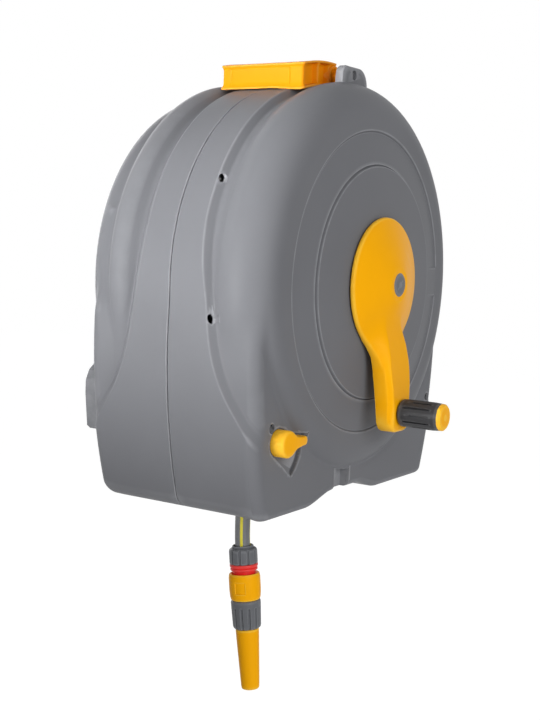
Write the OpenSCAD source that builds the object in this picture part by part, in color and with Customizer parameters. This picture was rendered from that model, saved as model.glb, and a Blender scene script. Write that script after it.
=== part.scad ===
// Wall mounted hose reel with a closed two part housing, a crank and a carry handle.
// Millimetres. X runs along the wall, +Y points into the wall and Z is up.
// The origin lies on the wall plane, on the axis of the drum.

/* [Housing] */
// Radius of the raised band that runs over the rim
band_r = 210; // [200:1:225]
// Width of the raised band at the top
band_w = 70; // [50:1:84]
// Height of the step from the band down to the shell
band_step = 6.4; // [4:0.2:9]
// Wall thickness of the moulded shells
wall = 3; // [2:0.2:4]
// Distance from the drum axis down to the underside
base_h = 234; // [228:1:250]
// Distance from the seam to the flat face of the lower block
block_d = 103; // [98:1:112]
// Distance from the seam to the middle of the round face
face_d = 124; // [122:0.5:130]

/* [Crank] */
// Distance from the drum axis to the grip axis
crank_len = 136; // [110:1:150]
// Radius of the round plate of the crank
crank_disc_r = 71; // [55:1:80]
// Diameter of the turning grip
grip_d = 30; // [24:0.5:38]
// Length of the turning grip
grip_len = 46; // [36:1:70]

/* [Handle] */
// Width of the carry handle
handle_w = 104; // [98:1:112]
// Height of the carry handle section
handle_h = 25; // [20:0.5:28]
// Width of the hand gap in the carry handle
hand_gap = 80; // [74:1:84]

/* [Hose] */
// Outside diameter of the hose
hose_d = 16; // [13:0.5:17]
// Length of the hose end fitting and nozzle
nozzle_len = 152; // [140:1:170]

/* [Wall bracket] */
// Distance from the wall to the back of the housing
wall_clear = 24; // [24:1:40]
// Distance between the two columns of wall screws
screw_x = 140; // [120:1:150]
// Distance between the two rows of wall screws
screw_z = 110; // [90:1:116]
// Diameter of the wall screw holes
screw_d = 6.5; // [4:0.5:8]

/* [Hidden] */

// Colours of the moulded pieces
grey = [0.45, 0.45, 0.46];
dark = [0.16, 0.16, 0.17];
yellow = [0.98, 0.70, 0.05];
red = [0.85, 0.13, 0.10];
steel = [0.75, 0.75, 0.77];
hose_grey = [0.40, 0.41, 0.42];

// Gaps between pieces
run = 0.05;
gap = 0.3;

// Distance from the wall to the seam, and how much deeper the rear half is
wall_gap = face_d + wall_clear;
rear_more = 6;
through = 4 * band_r;

// Side outline of the block below the drum
side_r = 570;
side_x = band_r + 1;
side_z = -60;
corner_r = 15;
edge_r = 14;
foot_x = side_x - 37;
arch_h = 11;
arch_x = [-92, -46, 14, 58];

// Round shoulders of the side discs, and the low hump beside the rear one
tyre_r = band_r - 4;
front_tyre_r = band_r + 2;
front_round = 37.5;
rear_tyre_r = band_r - 9;
rear_round = 22.5;
hump_r = band_r - 2.5;
hump_round = 20;
hump_d = face_d - 58;
ring_out = tyre_r - 45;
ring_in = tyre_r - 81;

// Half width of the raised band against height, where it flares into the block
band_h = band_w / 2;
flare = [[band_h, 60], [band_h + 3, 20], [band_h + 9, -18], [band_h + 14, -50], [band_h + 20, -75],
  [band_h + 31, -100], [band_h + 45, -120], [band_h + 61, -138], [band_h + 90, -152]];

// Crank heights above the seam
disc_d = face_d + 1;
hub_d = face_d + 20;
arm_d = face_d + 32;
arm_end = crank_len + 21;
arm_half = 18;
arm_round = 14;
grip_from = arm_d + 1;
grip_to = grip_from + grip_len;
pin_r = 4;
cap_r = 13.5;

// Drum
shaft_r = 12;
journal_r = 16;
bush_t = 5;
bush_len = 25;
shaft_in = 40;
flange_r = band_r - 27;
flange_d = face_d - 58;
flange_t = 4;
core_r = 55;
core_t = 5;
coil_r = flange_r - 20;
pipe_r = 9;
pipe_in = face_d - 54;
seal_d = [pipe_in + 8, pipe_in + 18];
elbow_d = 44 - flange_d;
elbow_half = 11;
turns = 8;

// Carry handle
pivot_x = 6;
pivot_z = band_r + 12.5;
handle_in = band_r + 1.5;
handle_out = handle_in + handle_h;
handle_front = -60;
flange_h = 3;
ear_in = handle_w / 2 + 14;
ear_out = ear_in + 10;
hinge_r = 4;
eye_r = 11;

// Drum lock
lock_x = 50 - side_x;
lock_z = -156;
lock_hub_r = 13.5;
lock_reach = 27.5;
lock_tip_r = 4.5;
lock_top = block_d + 14;
lock_shaft_r = 6;
slot_r = 41;
slot_swing = 65;
lock_far = sqrt(lock_x * lock_x + lock_z * lock_z);
lock_aim = atan2(-lock_z, -lock_x);
lock_len = lock_far - flange_r - gap;

// Screws that hold the two shells together
screw_low = [[37 - side_x, -140.5], [side_x - 37, -140.5]];
screw_ring = band_r - 4.8;
screw_high = [for (a = [29.2, 150.8, 190, 350]) screw_ring * [cos(a), sin(a)]];
screw_seat = 38;
screw_head_r = 4.2;
screw_shank_r = 2;

// Supply pipe behind the housing
pipe_d = wall_gap - 14.5;
pipe_out_r = 8;
pipe_end = -214;

// Notch under the round face
notch_x = -37;
notch_w = 27;
notch_deep = 12;

// Hose end: where it leaves the housing and how it hangs
exit_x = -0.6 * band_r;
exit_d = 41;
exit_hole_r = 15;
hang = 6.3;
nut_z = -base_h - 42;
hose_r = hose_d / 2;
s_nut = nozzle_len * 0.125;
s_ring = nozzle_len * 0.17;
s_collar = nozzle_len * 0.375;
s_grip = nozzle_len * 0.575;

// Wall bracket
plate_t = 4;
foot_out = side_x - 49;
foot_in = foot_out - 32;
foot_top = -96;
foot_low = -172;
post_top = 118;
hook_t = 6;
hook_from = 10;
hook_half = 15;
hook_x = band_r / 3;
post_out = hook_x + 26;

// Face frame: x along the wall, y up, z from the seam to the room
module reel() {
  translate([0, -wall_gap, 0]) rotate([90, 0, 0]) children();
}

// A shape drawn in depth and height, pushed through along x
module across(w) {
  rotate([0, 90, 0]) linear_extrude(height = w, center = true) children();
}

// A shape drawn in x and depth, pushed through from top to bottom
module upright(h) {
  rotate([90, 0, 0]) linear_extrude(height = h, center = true) children();
}

module disc(r, from, to) {
  translate([0, 0, from]) cylinder(r = r, h = to - from, $fn = 96);
}

module ring(r_out, r_in, from, to) {
  difference() {
    disc(r_out, from, to);
    disc(r_in, from - 1, to + 1);
  }
}

module base2d(g) {
  difference() {
    union() {
      translate([-side_x - 10, corner_r - base_h]) square([2 * side_x + 20, base_h - corner_r - 1.7]);
      translate([-foot_x, g - base_h]) square([2 * foot_x, corner_r]);
      translate([-foot_x, corner_r - base_h]) circle(r = corner_r - g, $fn = 48);
      translate([foot_x, corner_r - base_h]) circle(r = corner_r - g, $fn = 48);
    }
    polygon([[arch_x[0] - g, -base_h - 1], [arch_x[1] - g, arch_h + g - base_h],
      [arch_x[2] + g, arch_h + g - base_h], [arch_x[3] + g, -base_h - 1]]);
  }
}

module lens2d(g, s) {
  intersection() {
    translate([side_r - side_x, side_z]) circle(r = side_r - g - s, $fn = 96);
    translate([side_x - side_r, side_z]) circle(r = side_r - g - s, $fn = 96);
    base2d(g);
  }
}

module side2d(g) {
  circle(r = band_r - g, $fn = 96);
  lens2d(g, 0);
}

module flare2d(g) {
  edge = [for (p = flare) [p[0] - g, p[1]]];
  back = [for (i = [len(edge) - 1 : -1 : 0]) [-edge[i][0], edge[i][1]]];
  polygon(concat([[band_h - g, band_r + 20]], edge, [[band_h + 90, -base_h - 20],
    [-band_h - 90, -base_h - 20]],
    back, [[g - band_h, band_r + 20]]));
}

module front2d(g, more) {
  d = block_d + more / 4 - g;
  polygon([[-d, band_r + 20], [d, band_r + 20], [d, -150], [d - 1, 20 - base_h], [d - 2.5, 9 - base_h],
    [d - 7, 2 + g - base_h], [d - 11, g - base_h - 1], [11 - d, g - base_h - 1],
    [7 - d, 2 + g - base_h],
    [2.5 - d, 9 - base_h], [1 - d, 20 - base_h], [-d, -150]]);
}

module plan2d(g, s, more) {
  d = block_d + more / 4 - g;
  x = side_x + 1 - g - s;
  square([2 * x - 2 * edge_r, 2 * d], center = true);
  square([2 * x, 2 * d - 2 * edge_r], center = true);
  for (a = [-1, 1]) {
    for (b = [-1, 1]) {
      translate([a * (x - edge_r), b * (d - edge_r)]) circle(r = edge_r, $fn = 48);
    }
  }
}

// Points on an arc round [c, d]
function arc2(c, d, r, from, to, n) =
  [for (i = [0 : n]) [c + r * cos(from + (to - from) * i / n),
    d + r * sin(from + (to - from) * i / n)]];

// Half section of a side disc with its round shoulder
module dome2d(g, more) {
  flat = face_d - 12 + more;
  front = arc2(front_tyre_r - front_round, flat - front_round, front_round - g, -60, 90, 15);
  hump = arc2(hump_r - hump_round, hump_d, hump_round - g, -70, 60, 10);
  rear = arc2(rear_tyre_r - rear_round, flat - rear_round, rear_round - g, -30, 90, 10);
  d = face_d - g;
  polygon(concat([[0, 0], [ring_out, 0]], more > 0 ? concat(hump, rear) : front, [[ring_out + 1,
    flat - g],
    [ring_out - 0.5, d - 13.5 + more], [ring_in + 1.5, d - 7.5 + more * 0.4],
    [ring_in, d - 5 + more * 0.4],
    [crank_disc_r, d - 0.5], [0, d]]));
}

module dome(g, more) {
  rotate_extrude($fn = 96) dome2d(g, more);
}

// The moulded form of one half of the housing, shrunk by g all round
module form(g, more) {
  deep = 2 * (block_d + more / 4 - g);
  reach = more > 0 ? hump_d : face_d - 12 - front_round;
  intersection() {
    linear_extrude(height = deep, center = true) side2d(g);
    across(through) flare2d(g);
    across(through) front2d(g, more);
    upright(through) plan2d(g, 0, more);
  }
  linear_extrude(height = 2 * reach, center = true) circle(r = band_r - band_step - g, $fn = 96);
  intersection() {
    linear_extrude(height = deep, center = true) lens2d(g, band_step);
    across(through) front2d(g, more);
    upright(through) plan2d(g, band_step, more);
  }
  dome(g, more);
  mirror([0, 0, 1]) dome(g, more);
}

module notch_box(g, more) {
  translate([notch_x - g, -base_h - 5, block_d + more / 4 - notch_deep - g])
    cube([notch_w + 2 * g, base_h + 17 - tyre_r, notch_deep + g + 20]);
}

// Hollow half of the housing, from the seam out to its round face
module half_walls(more) {
  intersection() {
    difference() {
      form(0, more);
      difference() {
        form(wall, more);
        notch_box(wall, more);
      }
      difference() {
        notch_box(0, more);
        dome(-0.6, more);
      }
    }
    front_space();
  }
}

module front_space() {
  translate([-400, -400, 0]) cube([800, 800, 400]);
}

module ear2d() {
  translate([pivot_x - 12, pivot_z - 3]) circle(r = 12, $fn = 48);
  translate([pivot_x + 12, pivot_z - 5]) circle(r = 14, $fn = 48);
  translate([pivot_x - 12, pivot_z - 20]) square([24, 29]);
  polygon([[pivot_x - 24, pivot_z - 3], [pivot_x + 26, pivot_z - 5], [pivot_x + 38, pivot_z - 32],
    [pivot_x - 32, pivot_z - 32]]);
}

module ear(side) {
  difference() {
    translate([0, 0, side > 0 ? ear_in : -ear_out]) linear_extrude(height = ear_out - ear_in) ear2d();
    disc(tyre_r - 12, -200, 200);
  }
}

module boss(p, r, from, to) {
  translate([p[0], p[1], 0]) disc(r, from, to);
}

module wall_bracket() {
  color(grey) reel() difference() {
    union() {
      for (s = [-1, 1]) {
        bracket_foot(s);
        bracket_hook(s);
      }
      translate([-post_out, foot_low, -wall_gap]) cube([2 * post_out, post_top - foot_low, plate_t]);
      translate([-foot_out, foot_low, -wall_gap]) cube([2 * foot_out, 54, plate_t]);
      for (x = [-post_out, post_out - 4]) {
        translate([x, foot_low, -wall_gap]) cube([4, post_top - foot_low, 10]);
      }
      for (x = [-foot_out, 20]) {
        translate([x, foot_low, -wall_gap]) cube([foot_out - 20, 4, 14]);
      }
      for (x = [-foot_out, foot_out - 60]) {
        translate([x, foot_low + 50, -wall_gap]) cube([60, 4, 12]);
      }
    }
    for (a = [-1, 1]) {
      for (b = [-1, 1]) {
        boss([a * screw_x / 2, b * screw_z / 2], screw_d / 2, -wall_gap - 1, -wall_gap + 30);
        boss([a * screw_x / 2, b * screw_z / 2], screw_d, -wall_gap + plate_t - 1.5, -wall_gap + 6);
      }
    }
  }
}

module foot2d() {
  polygon([[foot_in, foot_low], [foot_out - 9, foot_low], [foot_out - 4, foot_low + 4],
    [foot_out, foot_low + 40],
    [foot_out, foot_top - 22], [foot_out - 5, foot_top - 11], [foot_out - 15, foot_top - 3],
    [foot_out - 20, foot_top],
    [foot_in, foot_top]]);
}

module bracket_foot(s) {
  depth = wall_gap - block_d - rear_more - 1;
  difference() {
    mirror([s > 0 ? 0 : 1, 0, 0]) translate([0, 0, -wall_gap]) linear_extrude(height = depth) foot2d();
    mirror([0, 0, 1]) dome(-1, rear_more);
  }
}

module bracket_hook(s) {
  translate([s * hook_x - hook_half, post_top - 52, -wall_gap])
    cube([2 * hook_half, 8, hook_from + hook_t]);
  translate([s * hook_x - hook_half, post_top - 52, hook_from - wall_gap])
    cube([2 * hook_half, 34, hook_t]);
}

module front_shell() {
  color(grey) reel() difference() {
    union() {
      half_walls(0);
      ear(1);
      intersection() {
        form(0, 0);
        union() {
          for (p = screw_high) boss(p, 7, 0, band_h + 6);
          for (p = screw_low) boss(p, 7, 0, block_d - 1);
          ring(shaft_r + bush_t + 4, shaft_r + bush_t, face_d - bush_len - 1, face_d - 1);
          boss([lock_x, lock_z], lock_shaft_r + 5, block_d - 16, block_d - 1);
          boss([lock_x, lock_z], slot_r + 11, block_d - 7, block_d - 1);
        }
      }
    }
    disc(shaft_r + bush_t, face_d - 40, face_d + 5);
    for (p = screw_high) screw_cut(p, screw_seat - 8, band_h + 14);
    for (p = screw_low) screw_cut(p, screw_seat, 200);
    boss([lock_x, lock_z], lock_shaft_r + run, block_d - 30, block_d + 5);
    boss([lock_x, lock_z], lock_hub_r + 1.5, block_d - 1.5, block_d + 5);
    translate([lock_x, lock_z, block_d - 1.5]) lever_fan();
    outlet_hole();
    boss([pivot_x, pivot_z], hinge_r, 0, 200);
  }
}

// Shallow fan that the pointer sweeps over
module lever_fan() {
  intersection() {
    cylinder(r = slot_r + 8, h = 6, $fn = 96);
    linear_extrude(height = 6) polygon([[-4, 13], [70, 13], [70, -30], [36, -80], [-8, -8]]);
  }
  translate([0, 0, -2.5]) rotate([0, 0, -slot_swing]) rotate_extrude(angle = slot_swing, $fn = 96)
    translate([slot_r - 3, 0]) square([6, 12]);
}

module screw_cut(p, seat, top) {
  boss(p, screw_head_r + 0.8, seat, top);
  boss(p, screw_shank_r + 0.4, -1, seat + 1);
}

module outlet_hole() {
  translate([exit_x, -base_h + 30, exit_d]) rotate([90, 0, 0]) cylinder(r = exit_hole_r, h = 60,
    $fn = 64);
}

module rear_shell() {
  color(grey) reel() difference() {
    union() {
      mirror([0, 0, 1]) half_walls(rear_more);
      ear(-1);
      intersection() {
        form(0, rear_more);
        union() {
          for (p = screw_high) boss(p, 7, -band_h - 6, 0);
          for (p = screw_low) boss(p, 7, 1 - block_d - rear_more, 0);
          ring(journal_r + bush_t + 4, journal_r + bush_t, 1 - face_d, bush_len + 1 - face_d);
        }
      }
      for (s = [-1, 1]) strap(s);
    }
    disc(pipe_r + 3, -face_d - 5, 40 - face_d);
    disc(journal_r + bush_t, 4 - face_d, 40 - face_d);
    for (p = screw_high) boss(p, screw_shank_r, 4 - screw_seat, 1);
    for (p = screw_low) boss(p, screw_shank_r, 4 - screw_seat, 1);
    boss([pivot_x, pivot_z], hinge_r, -200, 0);
  }
}

// Loop on the back that drops over a hook of the bracket
module strap(s) {
  x = s * hook_x - hook_half;
  z = hook_from - wall_gap;
  difference() {
    translate([x - 5, post_top - 42, z - 5])
      cube([2 * hook_half + 10, 30, wall_gap - hook_from - face_d + 17]);
    translate([x - gap, post_top - 50, z - gap])
      cube([2 * hook_half + 2 * gap, 32 + gap, hook_t + 2 * gap]);
    disc(crank_disc_r, 10 - face_d, 0);
    mirror([0, 0, 1]) dome(wall, rear_more);
  }
}

module shell_screws() {
  color(steel) reel() {
    for (p = screw_high) one_screw(p, screw_seat - 8);
    for (p = screw_low) one_screw(p, screw_seat);
  }
}

module one_screw(p, seat) {
  difference() {
    union() {
      boss(p, screw_head_r, seat, seat + 3);
      boss(p, screw_shank_r, 6 - screw_seat, seat + 0.5);
    }
    translate([p[0] - 0.6, p[1] - 3, seat + 1.8]) cube([1.2, 6, 3]);
    translate([p[0] - 3, p[1] - 0.6, seat + 1.8]) cube([6, 1.2, 3]);
  }
}

module bush_front() {
  color(dark) reel() ring(shaft_r + bush_t, shaft_r + run, face_d - bush_len - 1, face_d - 1);
}

module bush_rear() {
  color(dark) reel() ring(journal_r + bush_t, journal_r + run, 4 - face_d, bush_len + 1 - face_d);
}

module inlet_pipe() {
  color(dark) reel() difference() {
    union() {
      disc(pipe_r, -pipe_d, -pipe_in);
      translate([0, 0, -pipe_d]) sphere(r = pipe_r, $fn = 64);
      translate([0, 0, -pipe_d]) rotate([90, 0, 0]) cylinder(r = pipe_out_r, h = -pipe_end, $fn = 64);
      translate([0, pipe_end + 34, -pipe_d]) rotate([90, 0, 0]) cylinder(r = 10, h = 6, $fn = 64);
      disc(pipe_r + 3, -face_d - 2, 4 - face_d);
    }
    disc(pipe_r - 3, -pipe_d, 1 - pipe_in);
    translate([0, 0, -pipe_d]) rotate([90, 0, 0]) cylinder(r = pipe_out_r - 2.5, h = through, $fn = 64);
    for (d = seal_d) ring(pipe_r + 1, pipe_r - 1.6, -d - 1.6, 1.6 - d);
  }
}

module inlet_seals() {
  color(dark) reel() for (d = seal_d) ring(pipe_r, pipe_r - 1.6, -d - 1.5, 1.5 - d);
}

// Saddle that holds the supply pipe to the back of the housing
module pipe_clip() {
  color(grey) reel() difference() {
    translate([-2 * pipe_out_r, -ring_in - 25, -pipe_d - pipe_out_r - 1])
      cube([4 * pipe_out_r, 14, 4 * pipe_out_r]);
    translate([0, 0, -pipe_d]) rotate([90, 0, 0]) cylinder(r = pipe_out_r, h = through, $fn = 64);
    mirror([0, 0, 1]) dome(0, rear_more);
  }
}

module hose_outlet() {
  color(dark) reel() translate([exit_x, -base_h, exit_d]) rotate([90, 0, 0]) rotate_extrude($fn = 64)
    difference() {
      translate([0, -10]) square([exit_hole_r, 10]);
      translate([-1, -20]) square([hose_r + 1, 40]);
      polygon([[0, 1], [hose_r + 4, 1], [hose_r, -3], [hose_r, -5], [hose_r + 4, -11], [0, -11]]);
      translate([exit_hole_r - 0.6, 1]) circle(r = 4, $fn = 32);
    }
}

module handle_pins() {
  color(steel) reel() for (s = [-1, 1]) {
    boss([pivot_x, pivot_z], hinge_r, s > 0 ? handle_w / 2 - 12 : 3 - ear_out,
      s > 0 ? ear_out - 3 : 12 - handle_w / 2);
  }
}

module handle_plan() {
  half = handle_w / 2;
  difference() {
    union() {
      translate([handle_front + 6, -half]) square([pivot_x + eye_r - handle_front - 6, handle_w]);
      translate([handle_front, 6 - half]) square([20, handle_w - 12]);
      translate([handle_front + 6, 6 - half]) circle(r = 6, $fn = 48);
      translate([handle_front + 6, half - 6]) circle(r = 6, $fn = 48);
    }
    translate([-28, -hand_gap / 2]) square([100, hand_gap]);
  }
}

// Recesses between the lips: two in each arm, one under the beam and a shallow one along its front
module handle_pocket() {
  half = handle_w / 2;
  for (s = [-1, 1]) {
    translate([handle_front + 5, s * (half + 2) - 10]) square([27, 20]);
    translate([handle_front + 35, s * (half + 2) - 10]) square([16, 20]);
  }
  translate([handle_front + 6, -30]) square([18, 60]);
  translate([handle_front - 8, -half + 3]) square([10, handle_w - 6]);
}

module carry_handle() {
  color(yellow) reel() difference() {
    union() {
      intersection() {
        union() {
          ring(handle_out, handle_in, -handle_w, handle_w);
          boss([pivot_x, pivot_z], eye_r, -handle_w, handle_w);
        }
        upright(through) handle_plan();
        union() {
          translate([-200, 0, -100]) cube([200 + pivot_x, 400, 200]);
          boss([pivot_x, pivot_z], eye_r, -handle_w, handle_w);
        }
      }
      for (s = [-1, 1]) {
        boss([pivot_x, pivot_z], eye_r - 2, s > 0 ? handle_w / 2 - 6 : 2 - ear_in,
          s > 0 ? ear_in - 2 : 6 - handle_w / 2);
      }
    }
    intersection() {
      ring(handle_out - flange_h, handle_in + flange_h, -handle_w, handle_w);
      upright(through) handle_pocket();
    }
    boss([pivot_x, pivot_z], hinge_r + run, -handle_w, handle_w);
  }
}

module drum_hub() {
  color(dark) reel() difference() {
    union() {
      ring(core_r, core_r - core_t, -flange_d, flange_d);
      ring(core_r, shaft_r, flange_d - 10, flange_d);
      ring(shaft_r + 6, shaft_r, flange_d - shaft_in, flange_d);
      ring(core_r, pipe_r + run, -flange_d, 10 - flange_d);
      ring(journal_r, pipe_r + run, 8 - face_d, 10 - flange_d);
      ring(journal_r + 4, pipe_r + run, -flange_d, 30 - flange_d);
    }
    screw_holes();
    translate([0, 0, elbow_d]) rotate([0, 90, 0]) cylinder(r = 7, h = core_r + 5, $fn = 48);
  }
}

module screw_holes() {
  for (a = [30 : 60 : 330]) rotate([0, 0, a]) translate([core_r - 12, 0, 0]) disc(2.2, -200, 200);
}

module spoke_holes() {
  for (a = [0 : 60 : 300]) rotate([0, 0, a]) translate([core_r + 42, 0, 0]) disc(20, -200, 200);
  screw_holes();
}

module drum_flange_front() {
  color(dark) reel() difference() {
    union() {
      ring(flange_r, shaft_r + 8, flange_d, flange_d + flange_t);
      ring(flange_r, flange_r - 3, flange_d, flange_d + 8);
    }
    spoke_holes();
  }
}

module drum_flange_rear() {
  color(dark) reel() difference() {
    union() {
      ring(flange_r, journal_r, -flange_d - flange_t, -flange_d);
      ring(flange_r, flange_r - 3, -flange_d - 8, -flange_d);
    }
    spoke_holes();
  }
}

module flange_screws() {
  color(steel) reel() for (s = [0, 1]) mirror([0, 0, s]) for (a = [30 : 60 : 330]) rotate([0, 0, a])
    translate([core_r - 12, 0, 0]) {
      disc(4, flange_d + flange_t, flange_d + flange_t + 2.5);
      disc(2.2, flange_d - 8, flange_d + flange_t);
    }
}

module crank_shaft() {
  color(steel) reel() difference() {
    union() {
      disc(shaft_r, flange_d - shaft_in, face_d + 1);
      translate([0, 0, face_d + 1]) cylinder(r = shaft_r, h = 11, $fn = 6);
    }
    disc(3, face_d - 10, face_d + 20);
  }
}

module drum_elbow() {
  color(dark) reel() difference() {
    union() {
      disc(pipe_r + 3, elbow_d - 14, elbow_d + elbow_half - 3);
      translate([0, 0, elbow_d]) rotate([0, 90, 0]) cylinder(r = 7, h = core_r - 0.5, $fn = 48);
    }
    disc(pipe_r - 3, elbow_d - 15, elbow_d);
    translate([0, 0, elbow_d]) rotate([0, 90, 0]) cylinder(r = 4.5, h = core_r, $fn = 48);
  }
}

// Clamp that holds the inner hose end on the elbow
module hose_tie() {
  color(steel) reel() translate([core_r - core_t - 14, 0, elbow_d]) rotate([0, 90, 0]) ring(9, 7, 0, 8);
}

// Hose on the drum: a plain core with one layer of turns over it
module wound_hose() {
  pitch = (2 * flange_d - 1) / turns;
  color(hose_grey) reel() rotate_extrude($fn = 96) {
    translate([core_r, 0.5 - flange_d]) square([coil_r - core_r - hose_r, 2 * flange_d - 1]);
    for (i = [0 : turns - 1]) {
      translate([coil_r - hose_r, 0.5 - flange_d + pitch * (i + 0.5)]) circle(r = hose_r, $fn = 32);
    }
  }
}

module arm_side() {
  polygon([[disc_d + 5, 10], [hub_d, 10], [hub_d + 1, -30], [arm_d - 2, -crank_len + 30],
    [arm_d, -crank_len + 10],
    [arm_d, -arm_end - 2], [arm_d - 19, -arm_end - 2], [arm_d - 20, -crank_len],
    [disc_d + 5, -crank_disc_r]]);
}

module arm_front() {
  polygon([[-30, 0], [30, 0], [arm_half + 3, -crank_disc_r], [arm_half, -crank_len + 5],
    [arm_half, -arm_end + arm_round],
    [arm_half - 4, -arm_end + 4], [arm_half - 12, -arm_end], [12 - arm_half, -arm_end],
    [4 - arm_half, -arm_end + 4],
    [-arm_half, -arm_end + arm_round], [-arm_half, -crank_len + 5], [-arm_half - 3, -crank_disc_r]]);
}

module crank_arm() {
  color(yellow) reel() difference() {
    union() {
      rotate_extrude($fn = 96)
        polygon([[0, disc_d], [crank_disc_r, disc_d], [crank_disc_r, disc_d + 2.5],
          [crank_disc_r - 3, disc_d + 5.5],
          [crank_disc_r - 22, disc_d + 11], [30, hub_d - 3], [20, hub_d], [0, hub_d]]);
      intersection() {
        rotate([0, -90, 0]) linear_extrude(height = through, center = true) arm_side();
        linear_extrude(height = through) arm_front();
      }
    }
    difference() {
      rotate_extrude($fn = 96) polygon([[24, disc_d - 1], [crank_disc_r - 4, disc_d - 1],
        [crank_disc_r - 6, disc_d + 2], [crank_disc_r - 24, disc_d + 7], [34, hub_d - 8],
        [24, hub_d - 8]]);
      for (a = [0 : 60 : 300]) rotate([0, 0, a]) translate([-1.5, 0, 0]) cube([3, 100, 400]);
    }
    translate([0, 0, disc_d - 4]) cylinder(r = shaft_r, h = face_d + 16 - disc_d, $fn = 6);
    disc(3.2, disc_d, hub_d + 10);
    disc(cap_r, hub_d - 3, hub_d + 10);
    boss([0, -crank_len], pin_r, disc_d, arm_d + 5);
  }
}

module crank_screw() {
  color(steel) reel() {
    disc(7, hub_d - 3, hub_d - 0.5);
    disc(3, face_d - 6, hub_d - 3);
  }
}

// Round plug over the crank screw
module crank_cap() {
  color(grey) reel() rotate_extrude($fn = 64)
    polygon([[0, hub_d - 0.5], [7, hub_d - 0.5], [7, hub_d - 3], [cap_r, hub_d - 3],
      [cap_r, hub_d + 1.5],
      [cap_r - 2, hub_d + 3], [0, hub_d + 3.6]]);
}

module grip_pin() {
  color(steel) reel() {
    boss([0, -crank_len], pin_r, disc_d + 10, grip_to - 4);
    boss([0, -crank_len], pin_r + 2.5, grip_to - 4, grip_to - 2);
  }
}

module crank_grip() {
  r = grip_d / 2;
  color(dark) reel() translate([0, -crank_len, 0]) difference() {
    rotate_extrude($fn = 64) polygon([[pin_r + run, grip_from], [r - 2, grip_from],
      [r - 0.4, grip_from + 2],
      [r, grip_from + 10], [r, grip_to - 8], [r - 0.6, grip_to], [pin_r + 3.2, grip_to],
      [pin_r + 3.2, grip_to - 4.3],
      [pin_r + run, grip_to - 4.3]]);
    for (a = [0 : 30 : 330]) rotate([0, 0, a]) translate([r, 0, 0]) grip_slot(a);
  }
}

// One of the long slots round the grip
module grip_slot(a) {
  short = (a % 60 == 0) ? 9 : 0;
  translate([-1.6, -0.9, grip_from + 7 + short]) cube([4, 1.8, grip_len - 16 - short]);
}

module grip_cap() {
  r = grip_d / 2;
  color(yellow) reel() translate([0, -crank_len, 0]) rotate_extrude($fn = 64)
    polygon([[0, grip_to - 1.5], [pin_r + 3.2, grip_to - 1.5], [pin_r + 3.2, grip_to],
      [r - 0.6, grip_to],
      [r - 0.8, grip_to + 2.4], [r - 2.6, grip_to + 4], [0, grip_to + 4.6]]);
}

module pointer2d() {
  polygon([[0, lock_hub_r - 1], [11, lock_hub_r - 5], [lock_reach + 9.5, lock_tip_r - 0.3],
    [lock_reach + 9.5, 0.3 - lock_tip_r], [11, 5 - lock_hub_r], [0, 1 - lock_hub_r]]);
}

module lock_lever() {
  high = lock_top - block_d + 1;
  color(yellow) reel() translate([lock_x, lock_z, block_d - 1]) difference() {
    union() {
      cylinder(r = lock_hub_r, h = high, $fn = 64);
      translate([lock_reach + 9, 0, 0]) cylinder(r = lock_tip_r, h = high, $fn = 32);
      linear_extrude(height = high) pointer2d();
    }
    translate([0, 0, -1]) cylinder(r = lock_shaft_r, h = high - 4, $fn = 64);
  }
}

module lock_shaft() {
  color(dark) reel() translate([lock_x, lock_z, 0]) difference() {
    union() {
      disc(lock_shaft_r, flange_d - 4, lock_top - 5);
      disc(lock_shaft_r + 4, flange_d - 4, block_d - 19);
      rotate([0, 0, lock_aim]) translate([0, -6, flange_d - 4])
        cube([lock_len - 5, 12, 14]);
    }
    ring(lock_shaft_r + 1, lock_shaft_r - 1, block_d - 18, block_d - 16.5);
  }
}

// Rubber shoe that bears on the rim of the drum
module lock_pad() {
  color(dark) reel() translate([lock_x, lock_z, 0]) rotate([0, 0, lock_aim]) difference() {
    translate([lock_len - 5, -3, flange_d - 4]) cube([6, 6, 14]);
    translate([lock_far, 0, 0]) cylinder(r = flange_r + gap, h = 200, $fn = 720);
  }
}

// Spring clip that keeps the lock shaft in the shell
module lock_clip() {
  color(steel) reel() translate([lock_x, lock_z, 0]) difference() {
    ring(lock_shaft_r + 4, lock_shaft_r - 1, block_d - 18, block_d - 16.5);
    translate([-20, -2, 0]) cube([20, 4, 200]);
  }
}

// Route of the loose hose end, from the drum to the fitting
lay = coil_r + hose_r + 1;
lean_y = cos(hang);
lean_d = sin(hang);
hose_way = [[-lay, 8, exit_d], [-lay, -30, exit_d], [-lay + 3, -75, exit_d], [-lay + 12, -120, exit_d],
  [-lay + 22, -160, exit_d], [-lay + 36, 42 - base_h, exit_d], [exit_x, 12 - base_h, exit_d],
  [exit_x, -base_h - 6, exit_d], [exit_x, -base_h - 22, exit_d + 0.1],
    [exit_x, nut_z + 5 * lean_y, exit_d + 1.2 - 5 * lean_d],
  [exit_x, nut_z - 10 * lean_y, exit_d + 1.2 + 10 * lean_d]];
hose_sides = 12;

function unit(v) = v / norm(v);
function way_dir(i) = unit(hose_way[min(i + 1, len(hose_way) - 1)] - hose_way[max(i - 1, 0)]);
function way_side(i) = unit(cross(way_dir(i), [0, 0, 1]));
function way_up(i) = cross(way_side(i), way_dir(i));
function way_ring(i, r) = [for (k = [0 : hose_sides - 1]) hose_way[i]
  + r * (cos(k * 360 / hose_sides) * way_side(i) + sin(k * 360 / hose_sides) * way_up(i))];

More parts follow.
